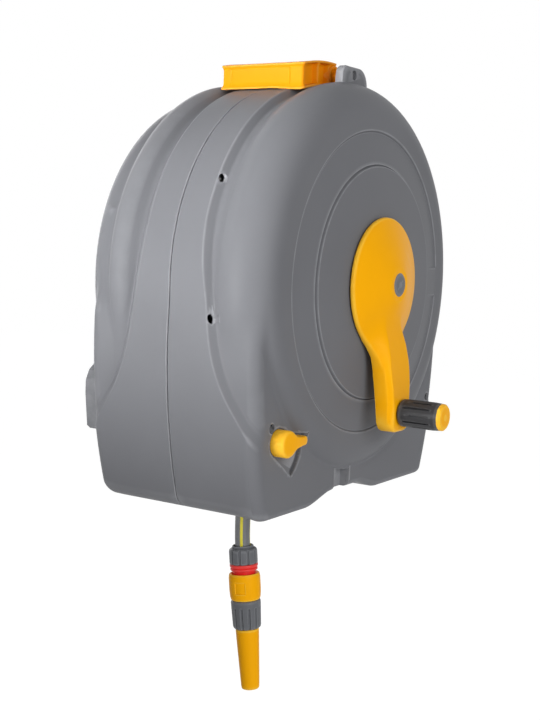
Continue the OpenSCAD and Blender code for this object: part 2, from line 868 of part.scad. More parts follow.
module hose_tail() {
  n = len(hose_way);
  points = [for (i = [0 : n - 1]) each way_ring(i, hose_r)];
  start = [for (k = [0 : hose_sides - 1]) k];
  finish = [for (k = [hose_sides - 1 : -1 : 0]) (n - 1) * hose_sides + k];
  skin = [for (i = [0 : n - 2]) for (k = [0 : hose_sides - 1])
    [i * hose_sides + k, (i + 1) * hose_sides + k,
      (i + 1) * hose_sides + (k + 1) % hose_sides, i * hose_sides + (k + 1) % hose_sides]];
  color(hose_grey) reel() polyhedron(points = points, faces = concat([start], skin, [finish]));
}

// Frame of the hose end: z runs down along the hanging fitting, zero at the nut
module fitting() {
  reel() translate([exit_x, nut_z, exit_d + 1.2]) rotate([90 - hang, 0, 0]) children();
}

module hose_nut() {
  color(grey) fitting() difference() {
    rotate_extrude($fn = 64) polygon([[hose_r, 0], [10.6, 0], [11.4, 2], [12.2, 2.6], [14.6, 5],
      [14.9, s_nut],
      [11, s_nut], [11, 12], [hose_r, 12]]);
    for (a = [0 : 36 : 324]) rotate([0, 0, a]) translate([13.4, -1.2, 4]) cube([5, 2.4, s_nut]);
    disc(hose_r, -5, 10);
  }
}

// Inner body of the hose end connector with its red band
module connector_body() {
  color(red) fitting() rotate_extrude($fn = 64) polygon([[5, 10], [7.5, 10], [7.5, 12], [11, 12],
    [11, s_nut], [15, s_nut],
    [15, s_ring], [12, s_ring], [12, s_collar - 3], [9, s_collar - 3], [9, s_collar - 22],
    [5, s_collar - 22]]);
}

module connector_collar() {
  color(yellow) fitting() difference() {
    rotate_extrude($fn = 64) polygon([[12 + gap, s_ring + 3.5], [15.6, s_ring + 3.5],
      [16.6, s_ring + 5.5],
      [16.6, s_collar - 4], [15.2, s_collar], [12 + gap, s_collar]]);
    for (s = [0, 90, 180, 270]) rotate([0, 0, s + 45]) translate([15.9, -5.5, s_ring + 11])
      cube([3, 11, s_collar - s_ring - 17]);
  }
}

module nozzle_grip() {
  color(grey) fitting() difference() {
    rotate_extrude($fn = 64) polygon([[5, s_collar - 20], [8, s_collar - 20], [8.6, s_collar - 18],
      [8.6, s_collar + 0.6], [14.6, s_collar + 0.6], [15.8, s_collar + 2], [15, s_grip - 2],
      [13.6, s_grip],
      [9, s_grip], [9, s_grip + 20], [5, s_grip + 20]]);
    for (a = [0 : 30 : 330]) rotate([0, 0, a]) translate([13.8, -1, s_collar + 8]) cube([5, 2, s_grip]);
    disc(4, 0, 300);
    ring(12, 7.4, s_collar - 13, s_collar - 10.2);
  }
}

module nozzle_seal() {
  color(dark) fitting() ring(9, 7.4, s_collar - 13, s_collar - 10.2);
}

module nozzle_barrel() {
  color(yellow) fitting() difference() {
    rotate_extrude($fn = 64) polygon([[9 + run, s_grip + gap], [11.6, s_grip + gap], [12, s_grip + 2],
      [11.6, s_grip + 16], [9.6, nozzle_len - 12], [9.2, nozzle_len - 2], [8.4, nozzle_len],
      [5, nozzle_len],
      [4, nozzle_len - 3], [4, nozzle_len - 10], [7, nozzle_len - 14], [7, s_grip + 24],
      [9 + run, s_grip + 22]]);
    for (a = [0 : 60 : 300]) rotate([0, 0, a]) translate([11.3, -1, s_grip + 4]) cube([3, 2, 12]);
  }
}

wall_bracket();
front_shell();
rear_shell();
shell_screws();
bush_front();
bush_rear();
inlet_pipe();
inlet_seals();
pipe_clip();
hose_outlet();
handle_pins();
carry_handle();
drum_hub();
drum_flange_front();
drum_flange_rear();
flange_screws();
crank_shaft();
drum_elbow();
hose_tie();
wound_hose();
crank_arm();
crank_cap();
crank_screw();
grip_pin();
crank_grip();
grip_cap();
lock_lever();
lock_shaft();
lock_pad();
lock_clip();
hose_tail();
hose_nut();
connector_body();
connector_collar();
nozzle_grip();
nozzle_barrel();
nozzle_seal();
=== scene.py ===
"""Looks of the wall mounted hose reel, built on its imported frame. Metres; +Y points into the wall, Z is up."""

import math

import bmesh
import bpy
import numpy as np
from mathutils import Matrix, Vector


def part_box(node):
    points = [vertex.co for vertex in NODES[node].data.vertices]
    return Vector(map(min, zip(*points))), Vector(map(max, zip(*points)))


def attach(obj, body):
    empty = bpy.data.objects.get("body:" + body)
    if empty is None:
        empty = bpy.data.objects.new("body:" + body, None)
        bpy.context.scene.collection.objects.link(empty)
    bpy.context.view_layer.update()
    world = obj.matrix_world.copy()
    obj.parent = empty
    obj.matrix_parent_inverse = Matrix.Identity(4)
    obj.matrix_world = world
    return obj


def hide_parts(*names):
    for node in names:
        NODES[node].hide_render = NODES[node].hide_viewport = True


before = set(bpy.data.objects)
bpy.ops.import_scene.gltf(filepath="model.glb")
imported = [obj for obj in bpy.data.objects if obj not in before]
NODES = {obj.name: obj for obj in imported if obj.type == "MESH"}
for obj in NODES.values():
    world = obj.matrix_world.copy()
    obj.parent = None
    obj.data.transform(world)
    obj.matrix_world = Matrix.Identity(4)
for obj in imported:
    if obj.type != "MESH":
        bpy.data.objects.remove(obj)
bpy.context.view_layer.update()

MM = 0.001
WALL_GAP = 148.0  # from the wall to the seam, in millimetres like all sizes below that carry no unit
PIN_X, PIN_Z = 6.0, 222.5  # hinge pins of the carry handle


# ---------------------------------------------------------------- helpers

def to_row(x, z, d):
    """Row frame metres of a point given by x, height z and distance d from the seam, in millimetres."""
    x, z, d = np.broadcast_arrays(x, z, d)
    return np.stack([x, -(WALL_GAP + d), z], -1) * MM


def smooth(a, b, x):
    """Soft ramp from 0 at a to 1 at b."""
    t = np.clip((x - a) / (b - a), 0.0, 1.0)
    return t * t * (3.0 - 2.0 * t)


def round_max(a, b, r):
    """Two fields cut together, with an edge of radius r."""
    return np.minimum(np.maximum(a, b), -r) + np.hypot(np.maximum(a + r, 0.0), np.maximum(b + r, 0.0))


def soft_min(a, b, k):
    """Two fields joined, with a fillet of about k."""
    h = np.maximum(k - np.abs(a - b), 0.0) / k
    return np.minimum(a, b) - h * h * k * 0.25


def soft_ramp(u, e):
    """Straight ramp from 0 to 1 with both ends rounded over e."""
    low = (np.clip(u, -e, e) + e) ** 2 / (4.0 * e)
    high = (1.0 + e - np.clip(u, 1.0 - e, 1.0 + e)) ** 2 / (4.0 * e)
    return np.where(u < e, low, np.where(u > 1.0 - e, 1.0 - high, u))


def grid_faces(rows, cols):
    """Quads between rows of points, each row closed round its cols points."""
    out = []
    for i in range(rows - 1):
        a, b = i * cols, (i + 1) * cols
        for j in range(cols):
            k = (j + 1) % cols
            out.append((a + j, a + k, b + k, b + j))
    return out


def add_mesh(name, verts, faces, angle=32.0):
    """A closed mesh with its normals outward, smooth except over edges sharper than angle."""
    mesh = bpy.data.meshes.new(name)
    mesh.from_pydata([tuple(v) for v in verts], [], faces)
    bm = bmesh.new()
    bm.from_mesh(mesh)
    bmesh.ops.remove_doubles(bm, verts=bm.verts, dist=1e-6)
    bmesh.ops.recalc_face_normals(bm, faces=bm.faces)
    bm.to_mesh(mesh)
    bm.free()
    obj = bpy.data.objects.new(name, mesh)
    bpy.context.scene.collection.objects.link(obj)
    shade(obj, angle)
    return obj


def shade(obj, angle):
    """Smooth shading, except over edges sharper than angle."""
    obj.data.shade_smooth()
    obj.data.set_sharp_from_angle(angle=math.radians(angle))


def loft(name, rows, angle=32.0):
    """A closed skin over rows of points (row, col, xyz); the first and last rows are capped."""
    rows = np.asarray(rows, float)
    n, m = rows.shape[:2]
    faces = grid_faces(n, m)
    faces.append(tuple(range(m)))
    faces.append(tuple((n - 1) * m + j for j in range(m)))
    return add_mesh(name, rows.reshape(-1, 3), faces, angle)


def prism(outline, low, high):
    """Rows for a loft that pushes an outline of x, z points from depth low to depth high."""
    p = np.asarray(outline, float)
    return [to_row(p[:, 0], p[:, 1], low), to_row(p[:, 0], p[:, 1], high)]


def circle(cx, cz, r, n=40):
    """Points round a circle."""
    a = np.linspace(0.0, 2.0 * math.pi, n, endpoint=False)
    return np.stack([cx + r * np.cos(a), cz + r * np.sin(a)], 1)


def cut(obj, cutters):
    """Takes the cutter meshes out of obj, one after the other."""
    for tool in cutters:
        mod = obj.modifiers.new("cut", "BOOLEAN")
        mod.operation = "DIFFERENCE"
        mod.solver = "EXACT"
        mod.object = tool
        bpy.context.view_layer.objects.active = obj
        bpy.ops.object.modifier_apply(modifier=mod.name)
        bpy.data.objects.remove(tool)


def join(obj, others):
    """Puts the meshes of others into obj."""
    with bpy.context.temp_override(active_object=obj, object=obj, selected_objects=[obj, *others],
                                   selected_editable_objects=[obj, *others]):
        bpy.ops.object.join()


# ---------------------------------------------------------------- camera

CAMERA_AT = (-1.1474, -0.8670, 0.0463)
CAMERA_BACK = (-0.8384, -0.5353, 0.1030)
CAMERA_RIGHT = (0.5382, -0.8428, 0.0)
CAMERA_ROLL = 2.3


def add_camera():
    """The camera of the photo, from its place, its two directions and a small roll."""
    data = bpy.data.cameras.new("camera")
    cam = bpy.data.objects.new("camera", data)
    bpy.context.scene.collection.objects.link(cam)
    data.sensor_width = 36.0
    data.lens = 59.8
    data.clip_start = 0.01
    data.clip_end = 100.0
    back = Vector(CAMERA_BACK).normalized()
    right = Vector(CAMERA_RIGHT).normalized()
    up = back.cross(right)
    c, s = math.cos(math.radians(CAMERA_ROLL)), math.sin(math.radians(CAMERA_ROLL))
    right, up = right * c + up * s, up * c - right * s
    turn = Matrix((right, up, back)).transposed().to_4x4()
    cam.matrix_world = Matrix.Translation(CAMERA_AT) @ turn
    bpy.context.scene.camera = cam


add_camera()


# ---------------------------------------------------------------- materials

def new_material(name):
    """A material with its nodes, links and shader."""
    mat = bpy.data.materials.new(name)
    mat.use_nodes = True
    nodes, links = mat.node_tree.nodes, mat.node_tree.links
    return mat, nodes, links, nodes["Principled BSDF"]


def noise(nodes, links, coord, scale, detail=3.0, rough=0.5):
    """Cloudy pattern between 0 and 1."""
    node = nodes.new("ShaderNodeTexNoise")
    node.inputs["Scale"].default_value = scale
    node.inputs["Detail"].default_value = detail
    node.inputs["Roughness"].default_value = rough
    links.new(coord, node.inputs["Vector"])
    return node.outputs["Fac"]


def ramp(nodes, links, fac, stops):
    """Colour ramp from (position, colour) stops."""
    node = nodes.new("ShaderNodeValToRGB")
    band = node.color_ramp
    while len(band.elements) < len(stops):
        band.elements.new(0.5)
    for element, (position, colour) in zip(band.elements, stops):
        element.position = position
        element.color = (*colour, 1.0)
    links.new(fac, node.inputs["Fac"])
    return node.outputs["Color"]


def linear(srgb):
    """Linear colour from one given in 0 to 255."""
    return tuple(c / 12.92 if c <= 0.04045 else ((c + 0.055) / 1.055) ** 2.4 for c in (v / 255.0 for v in srgb))


def tint(colour, f):
    """A colour made lighter or darker."""
    return tuple(min(1.0, c * f) for c in colour)


EDGE_LOW, EDGE_HIGH = 0.506, 0.53  # pointiness at which the painted highlight on an edge starts, and where it is in full


def plastic(name, srgb, rough, spread=0.05, grain=0.25, grain_scale=1400.0, cloud=9.0, gloss=0.22, edge_highlight=0.35):
    """Moulded plastic: soft cloudy colour, painted highlights on edges, uneven sheen and a fine grain."""
    mat, nodes, links, bsdf = new_material(name)
    coord = nodes.new("ShaderNodeTexCoord").outputs["Object"]
    base = linear(srgb)
    clouds = noise(nodes, links, coord, cloud, 4.0, 0.55)
    colour = ramp(nodes, links, clouds, [(0.3, tint(base, 1.0 - spread)), (0.7, tint(base, 1.0 + spread))])
    # Painted highlight: convex edges, found by pointiness, are mixed in patches towards a paler tint of the colour
    edges = nodes.new("ShaderNodeMapRange")
    edges.inputs["From Min"].default_value = EDGE_LOW
    edges.inputs["From Max"].default_value = EDGE_HIGH
    edges.inputs["To Max"].default_value = edge_highlight
    links.new(nodes.new("ShaderNodeNewGeometry").outputs["Pointiness"], edges.inputs["Value"])
    edge_highlight_mask = nodes.new("ShaderNodeMath")
    edge_highlight_mask.operation = "MULTIPLY"
    links.new(edges.outputs["Result"], edge_highlight_mask.inputs[0])
    patches = noise(nodes, links, coord, 55.0, 4.0, 0.6)
    links.new(ramp(nodes, links, patches, [(0.25, (0.45,) * 3), (0.6, (1,) * 3)]), edge_highlight_mask.inputs[1])
    mix = nodes.new("ShaderNodeMix")
    mix.data_type = "RGBA"
    links.new(edge_highlight_mask.outputs[0], mix.inputs["Factor"])
    links.new(colour, mix.inputs["A"])
    mix.inputs["B"].default_value = (*[min(1.0, 0.12 + 1.5 * c) for c in base], 1.0)
    links.new(mix.outputs["Result"], bsdf.inputs["Base Color"])
    sheen = noise(nodes, links, coord, cloud * 4.0, 3.0, 0.6)
    span = nodes.new("ShaderNodeMapRange")
    span.inputs["To Min"].default_value = rough - 0.05
    span.inputs["To Max"].default_value = rough + 0.05
    links.new(sheen, span.inputs["Value"])
    links.new(span.outputs["Result"], bsdf.inputs["Roughness"])
    fine = noise(nodes, links, coord, grain_scale, 2.0, 0.5)
    bump = nodes.new("ShaderNodeBump")
    bump.inputs["Strength"].default_value = grain
    bump.inputs["Distance"].default_value = 0.00012
    links.new(fine, bump.inputs["Height"])
    links.new(bump.outputs["Normal"], bsdf.inputs["Normal"])
    bsdf.inputs["Specular IOR Level"].default_value = gloss
    return mat


def metal(name, srgb, rough):
    """Plated steel with a slightly cloudy colour and a patchy sheen."""
    mat, nodes, links, bsdf = new_material(name)
    coord = nodes.new("ShaderNodeTexCoord").outputs["Object"]
    base = linear(srgb)
    links.new(ramp(nodes, links, noise(nodes, links, coord, 60.0), [(0.3, tint(base, 0.88)), (0.7, base)]),
              bsdf.inputs["Base Color"])
    span = nodes.new("ShaderNodeMapRange")
    span.inputs["To Min"].default_value = rough - 0.06
    span.inputs["To Max"].default_value = rough + 0.08
    links.new(noise(nodes, links, coord, 240.0, 4.0), span.inputs["Value"])
    links.new(span.outputs["Result"], bsdf.inputs["Roughness"])
    bsdf.inputs["Metallic"].default_value = 1.0
    return mat


# The housing gets the strongest painted highlight on its edges.
HOUSING = plastic("grey_housing", (112, 113, 117), 0.42, spread=0.035, grain=0.30, gloss=0.05, edge_highlight=0.55)
FITTING = plastic("grey_fitting", (100, 102, 106), 0.44, spread=0.05, grain=0.3)
YELLOW = plastic("yellow_plastic", (252, 176, 8), 0.36, spread=0.03, grain=0.16, cloud=14.0, gloss=0.05)
# Painted shade: the handle's yellow is a darker, more orange copy of yellow_plastic, to offset the stronger light
# on the handle
HANDLE_SHADED_YELLOW = plastic("handle_shaded_plastic", (236, 147, 14), 0.38, spread=0.03, grain=0.16, cloud=14.0, gloss=0.05)
DARK = plastic("dark_plastic", (44, 44, 46), 0.5, spread=0.1, grain=0.4)
GRIP = plastic("black_grip", (48, 48, 50), 0.46, spread=0.1, grain=0.5, grain_scale=1000.0)
RED = plastic("red_plastic", (226, 36, 30), 0.38, spread=0.04, grain=0.15)
SEAL = plastic("seal_rubber", (30, 30, 31), 0.7, spread=0.1, grain=0.5)
STEEL = metal("steel", (190, 190, 192), 0.34)


def hose_material():
    """Grey hose with four yellow stripes along it; the stripes follow the map round the hose."""
    mat, nodes, links, bsdf = new_material("hose")
    coords = nodes.new("ShaderNodeTexCoord")
    coord = coords.outputs["Object"]
    split = nodes.new("ShaderNodeSeparateXYZ")
    links.new(coords.outputs["UV"], split.inputs[0])
    wave = nodes.new("ShaderNodeMath")
    wave.operation = "PINGPONG"
    wave.inputs[1].default_value = 0.125
    shift = nodes.new("ShaderNodeMath")
    shift.operation = "ADD"
    shift.inputs[1].default_value = 0.07
    links.new(split.outputs["X"], shift.inputs[0])
    links.new(shift.outputs[0], wave.inputs[0])
    stripe = ramp(nodes, links, wave.outputs[0], [(0.0, (1, 1, 1)), (0.027, (1, 1, 1)), (0.031, (0, 0, 0))])
    grey = ramp(nodes, links, noise(nodes, links, coord, 40.0),
                [(0.3, linear((98, 99, 101))), (0.7, linear((116, 117, 119)))])
    yellow = ramp(nodes, links, noise(nodes, links, coord, 60.0),
                  [(0.3, linear((205, 192, 40))), (0.7, linear((226, 212, 62)))])
    mix = nodes.new("ShaderNodeMix")
    mix.data_type = "RGBA"
    links.new(stripe, mix.inputs["Factor"])
    links.new(grey, mix.inputs["A"])
    links.new(yellow, mix.inputs["B"])
    links.new(mix.outputs["Result"], bsdf.inputs["Base Color"])
    bump = nodes.new("ShaderNodeBump")
    bump.inputs["Strength"].default_value = 0.3
    bump.inputs["Distance"].default_value = 0.0002
    links.new(noise(nodes, links, coord, 700.0), bump.inputs["Height"])
    links.new(bump.outputs["Normal"], bsdf.inputs["Normal"])
    bsdf.inputs["Roughness"].default_value = 0.42
    return mat


HOSE = hose_material()

SLOTS = {
    "grey_housing": HOUSING, "grey_fitting": FITTING, "yellow_plastic": YELLOW, "dark_plastic": DARK,
    "black_grip": GRIP, "red_plastic": RED, "seal_rubber": SEAL, "steel": STEEL, "hose": HOSE,
}


def dress(obj, slot):
    """Gives a piece the material of a slot and no other."""
    obj.data.materials.clear()
    obj.data.materials.append(SLOTS[slot])


NODE_SLOT = {
    "wall_bracket": "grey_housing", "front_shell": "grey_housing", "rear_shell": "grey_housing",
    "shell_screws": "steel", "bush_front": "dark_plastic", "bush_rear": "dark_plastic",
    "inlet_pipe": "dark_plastic", "inlet_seals": "seal_rubber", "pipe_clip": "grey_housing",
    "hose_outlet": "dark_plastic", "handle_pins": "steel", "carry_handle": "yellow_plastic",
    "drum_hub": "dark_plastic", "drum_flange_front": "dark_plastic", "drum_flange_rear": "dark_plastic",
    "flange_screws": "steel", "crank_shaft": "steel", "drum_elbow": "dark_plastic", "hose_tie": "steel",
    "wound_hose": "hose", "crank_arm": "yellow_plastic", "crank_cap": "grey_fitting",
    "crank_screw": "steel", "grip_pin": "steel", "crank_grip": "black_grip", "grip_cap": "yellow_plastic",
    "lock_lever": "yellow_plastic", "lock_shaft": "dark_plastic", "lock_pad": "seal_rubber",
    "lock_clip": "steel", "hose_tail": "hose", "hose_nut": "grey_fitting", "connector_body": "red_plastic",
    "connector_collar": "yellow_plastic", "nozzle_grip": "grey_fitting", "nozzle_barrel": "yellow_plastic",
    "nozzle_seal": "seal_rubber",
}
for node_name, slot_name in NODE_SLOT.items():
    dress(NODES[node_name], slot_name)
    shade(NODES[node_name], 30.0)


def place(obj, body, slot, node):
    """Dresses a piece, makes it ride on a body and stand for its CAD node."""
    dress(obj, slot)
    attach(obj, body)
    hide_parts(node)


# ---------------------------------------------------------------- wall bracket

def add_bracket():
    """Wall bracket, with the lower corners of its plate cut back to the slope of the feet."""
    piece = bpy.data.objects.new("bracket", NODES["wall_bracket"].data.copy())
    bpy.context.scene.collection.objects.link(piece)
    low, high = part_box("wall_bracket")
    edge, foot = 1000.0 * high[0], 1000.0 * low[2]
    slope = [(-9.2, -2.0), (-9.2, -0.1), (-4.0, 4.0), (0.02, 40.0), (6.0, 40.0), (6.0, -2.0)]
    tools = []
    for side in (-1.0, 1.0):
        corner = [(side * (edge + out), foot + up) for out, up in slope]
        rows = prism(corner if side > 0 else corner[::-1], -WALL_GAP - 2.0, -WALL_GAP + 30.0)
        tools.append(loft("corner", rows))
    cut(piece, tools)
    shade(piece, 30.0)
    place(piece, "bracket", "grey_housing", "wall_bracket")


add_bracket()


# ---------------------------------------------------------------- hose

HOSE_R = 8.0
HANG = math.radians(6.3)  # lean of the hose end
EXIT_X, EXIT_D = -126.0, 41.0  # where the hose leaves the underside
NUT_Z, FIT_D = -276.0, EXIT_D + 1.2  # top of the hose end


def fit_point(s):
    """Point on the axis of the hose end, s millimetres down from the top of the nut, as x, z, d."""
    return (EXIT_X, NUT_Z - s * math.cos(HANG), FIT_D + s * math.sin(HANG))


HOSE_WAY = [(-172, 8, 41), (-172, -30, 41), (-169, -75, 41), (-160, -120, 41), (-150, -160, 41),
            (-136, -192, 41), (-126, -222, 41), (-126, -240, 41), (-126, -256, 41.1),
            fit_point(-5), fit_point(10)]


def through(points, per):
    """Smooth path through points, with per steps from each to the next."""
    p = np.asarray(points, float)
    ext = np.vstack([2 * p[0] - p[1], p, 2 * p[-1] - p[-2]])
    out = []
    for i in range(1, len(ext) - 2):
        a, b, c, d = ext[i - 1], ext[i], ext[i + 1], ext[i + 2]
        for t in np.linspace(0, 1, per, endpoint=False):
            out.append(0.5 * (2 * b + (c - a) * t + (2 * a - 5 * b + 4 * c - d) * t * t
                              + (3 * b - a - 3 * c + d) * t ** 3))
    out.append(p[-1])
    return np.array(out)


def tube(name, path, radius, sides):
    """Hose skin round a path in row metres, with a map that runs round it."""
    n = len(path)
    room = np.array([0.0, -1.0, 0.0])
    ahead = np.gradient(path, axis=0)
    ahead /= np.linalg.norm(ahead, axis=1)[:, None]
    side = room - ahead * (ahead @ room)[:, None]
    side /= np.linalg.norm(side, axis=1)[:, None]
    other = np.cross(ahead, side)
    a = np.linspace(0, 2 * math.pi, sides, endpoint=False)[None, :, None]
    obj = loft(name, path[:, None] + radius * (np.cos(a) * side[:, None] + np.sin(a) * other[:, None]))
    mesh = obj.data
    layer = mesh.uv_layers.new(name="round")
    for poly in mesh.polygons:
        cols = [mesh.loops[k].vertex_index % sides for k in poly.loop_indices]
        wrap = max(cols) - min(cols) > sides / 2
        for k, c in zip(poly.loop_indices, cols):
            row = mesh.loops[k].vertex_index // sides
            layer.data[k].uv = ((c + sides if wrap and c < sides / 2 else c) / sides, row / n)
    return obj


def add_hose(on_it):
    """The loose end of the hose, from the drum out of the underside to its nut. Its argument on_it, the pieces on
    it, is not used.
    """
    way = np.asarray(HOSE_WAY, float)
    path = through(to_row(way[:, 0], way[:, 1], way[:, 2]), 4)
    hose = tube("hose_end", path, HOSE_R * MM, 24)
    place(hose, "housing", "hose", "hose_tail")


# ---------------------------------------------------------------- housing shells

BAND_R, STEP, STEP_W = 210.0, 6.4, 7.0  # raised band, and the height and width of its step
SIDE_R, SIDE_OFF, SIDE_Z = 570.0, 359.0, -60.0  # large arcs of the two sides, radius and centre
BASE = 234.0  # from the drum axis down to the underside
BLOCK_D, FACE_D = 103.0, 112.0  # from the seam to the lower block's front and to the rim of the round face
BLOCK_TOP = 70.0  # height at which the lower block has died into the shoulder
SHELL_T = 3.0  # thickness of the shells
REAR_MORE = 6.0  # the rear half is this much deeper
FRONT_TYRE = (175.5, 37.5)  # radius of the centre line and of the rounding
REAR_TYRE = (176.5, 22.5)
HUMP = (193.0, 66.0, 20.0)  # radius, distance from the seam and rounding of the low hump on the rear half
LOCK_X, LOCK_Z = -161.0, -156.0  # axis of the lock lever
NOTCH_X, NOTCH_W, NOTCH_DEEP = -43.0, 31.0, 12.0
LOW_HOLE_X, LOW_HOLE_Z, LOW_HOLE_R = 174.0, -140.5, 5.0  # screw holes in the lower block
# Half width of the raised band against the height: it flares into the lower block. Smoothed over 7 mm.
FLARE = [(-240, 175), (-180, 121), (-166, 107), (-152, 96.4), (-140, 87.6), (-127, 79), (-114, 70), (-97, 61.5),
         (-80, 55), (-63, 50.5), (-46, 47.8), (-18, 44), (20, 38), (60, 35), (240, 35)]
FLARE_Z = np.linspace(-250.0, 240.0, 981)
FLARE_W = np.interp(FLARE_Z, [p[0] for p in FLARE], [p[1] for p in FLARE])
FLARE_BLUR = np.exp(-0.5 * (np.arange(-40, 41) * 0.5 / 7.0) ** 2)
FLARE_W = np.convolve(np.pad(FLARE_W, 40, mode="edge"), FLARE_BLUR / FLARE_BLUR.sum(), mode="valid")
FLARE_SLOPE = np.gradient(FLARE_W, FLARE_Z)


def block_front(more):
    """Distance from the seam to the front of the lower block."""
    return BLOCK_D + 0.25 * more


def underside(x):
    """Height of the underside, with the shallow arch in its middle."""
    return -BASE + 11.0 * smooth(-98.0, -40.0, x) * (1.0 - smooth(10.0, 62.0, x))


def shoulder_field(r, d, more):
    """Round shoulder of a side disc; the rear one has a low hump beside it."""
    flat = FACE_D + more
    middle, rounding = REAR_TYRE if more else FRONT_TYRE
    tyre = np.hypot(r - middle, d - flat + rounding) - rounding
    tyre = np.where(r < middle, d - flat, tyre)
    if not more:
        return tyre
    return soft_min(tyre, np.hypot(r - HUMP[0], d - HUMP[1]) - HUMP[2], 9.0)


def shell_field(x, z, d, more):
    """Below zero inside the housing: band, flare, lower block and the round shoulder of the side disc."""
    r = np.hypot(x, z)
    width = np.interp(z, FLARE_Z, FLARE_W)
    slope = np.interp(z, FLARE_Z, FLARE_SLOPE)
    beyond = (d - width) / np.sqrt(1.0 + slope * slope)
    drop = STEP * soft_ramp(beyond / STEP_W, 0.16)
    if more:
        drop = drop - 3.6 * smooth(72.0, 92.0, d) * smooth(-6.0, -40.0, z) * drop / STEP
    side = np.hypot(np.abs(x) + SIDE_OFF, z - SIDE_Z) - SIDE_R + drop
    low = underside(x) - z
    above = z - BLOCK_TOP
    below = np.maximum(round_max(side, low, 15.0), above)
    reach = HUMP[1] if more else FACE_D - FRONT_TYRE[1]
    upper = np.maximum(soft_min(r - BAND_R, below - drop, 2.0) + drop, d - reach)
    front = d - block_front(more) + np.clip((-150.0 - z) / 64.0, 0.0, 1.3)
    under = 15.0 + (1.5 * more - 8.0) * smooth(-30.0, -6.0, front)
    corner = 13.0 + (0.0 if more else 10.0) * smooth(20.0, 120.0, x)
    block = np.maximum(round_max(round_max(side, front, corner), low, under), above)
    shoulder, rest = shoulder_field(r, d, more), np.minimum(upper, block)
    joined = soft_min(rest, shoulder, 4.0)
    if more:
        return joined
    valley = 1.3 * np.exp(-((shoulder - rest) / 2.6) ** 2)
    return joined + valley * smooth(-50.0, -110.0, z) * smooth(88.0, 96.0, d)


def face_height(r, theta, more):
    """Distance from the seam of the round face, with its two ring steps and a plain plate on the right."""
    z = r * np.sin(theta)
    plate = np.where(np.cos(theta) > 0, 1.0 - smooth(15.8, 17.6, np.abs(z)), 0.0)
    sink = 1.5 * smooth(161.6, 160.2, r) * smooth(126.5, 158.0, r) * (1.0 - plate)
    base = np.interp(r, [0.0, 71.0, 124.4, 125.8, 161.0, 176.0],
                     [124.0, 123.5, 119.0 + 0.4 * more, 116.6 + 0.4 * more, 112.0 + more, 112.0 + more])
    inner = 1.4 * smooth(124.5, 125.1, r) * smooth(126.4, 125.8, r)
    outer = 1.1 * smooth(160.2, 160.8, r) * smooth(162.2, 161.6, r) * (1.0 - plate)
    return base - sink - (inner + outer)


def thetas():
    """Angles round the drum axis, closer together over the lower block and at the plate."""
    upper = np.arange(8.0, 190.0, 1.4)
    lower = np.arange(190.0, 352.0, 0.5)
    plate = np.arange(352.0, 368.0, 0.4)
    return np.radians(np.concatenate([upper, lower, plate]))


# Radii of the rows of points over the round face, close together at its two ring steps, and of its inner skin.
RINGS = [170, 167, 164, 162.6, 162.0, 161.6, 161.2, 160.8, 160.4, 160.0, 159.2, 157, 153, 148, 142, 136, 131,
         128, 126.6, 126.0, 125.7, 125.4, 125.0, 124.6, 124.3, 123.8, 122.5, 119, 113, 105, 96, 86, 76, 60, 40,
         17.2]
FEW_RINGS = [170, 161.2, 148, 126.0, 124.6, 105, 76, 40, 17.2]


def hit(shape, low, high, inside, steps):
    """Distance at which each of an array of rays leaves a solid, found by halving from low to high."""
    lo, hi = np.full(shape, low), np.full(shape, high)
    for _ in range(steps):
        far = 0.5 * (lo + hi)
        within = inside(far)
        lo, hi = np.where(within, far, lo), np.where(within, hi, far)
    return far


RAY = (110.0, 345.0)  # nearest and farthest that a ray from the middle of the seam may leave the housing


def shell_rows(th, offset, more, fine):
    """Rows of points (x, z, d) from the seam over the rim to the middle of the face, set in by offset."""
    last = math.atan2(FACE_D + more - offset, 172.0)
    ct, st = np.cos(th), np.sin(th)
    rim = hit(th.shape, *RAY, lambda q: shell_field(q * ct, q * st, 0.0 * q, more) < -offset, 26)
    foot = np.minimum(np.interp(rim * st, FLARE_Z, FLARE_W), 94.0)
    none = 0.0 * foot

    def at(d):
        return np.arctan2(d, rim)

    if fine:
        mid = np.maximum(at(foot + 11.0) + 0.008, math.radians(19.0))
        spans = [(none, at(none + 1.2), 4), (at(none + 1.2), at(foot - 3.0), 9),
                 (at(foot - 3.0), at(foot + 11.0), 18), (at(foot + 11.0), mid, 12), (mid, none + last, 58)]
    else:
        spans = [(none, none + last, 30)]
    phi = [a + (b - a) * t for a, b, n in spans for t in np.linspace(0, 1, n, endpoint=False)]
    phi = np.array(phi + [none + last])
    cp, sp = np.cos(phi), np.sin(phi)
    far = hit(phi.shape, *RAY, lambda q: shell_field(q * cp * ct, q * cp * st, q * sp, more) < -offset, 26)
    r, d = far * cp, far * sp
    if fine:
        r = r - 1.2 * np.clip(1.0 - d / 0.9, 0.0, 1.0) ** 2
    d = d + 0.45 * np.clip(1.0 - d / 4.0, 0.0, 1.0)
    rings = np.array(RINGS if fine else FEW_RINGS, float)[:, None] + none
    r = np.vstack([r, rings])
    d = np.vstack([d, face_height(rings, th[None, :], more) - offset])
    return r * ct, r * st, d


def add_shell(name, sign, more):
    """One closed half of the housing: outer skin, hub edge, inner skin and seam edge."""
    th = thetas()
    outer, inner = shell_rows(th, 0.0, more, True), shell_rows(th, SHELL_T, more, False)
    x, z, d = (np.vstack([a, b[::-1]]) for a, b in zip(outer, inner))
    pts = to_row(x, z, sign * d)
    n, m = pts.shape[:2]
    faces = grid_faces(n, m)
    faces += [((n - 1) * m + j, (n - 1) * m + (j + 1) % m, (j + 1) % m, j) for j in range(m)]
    return add_mesh(name, pts.reshape(-1, 3), faces, 40.0)


def notch_top(more):
    """Radius of the top of the notch."""
    return 201.6 if more else 203.0


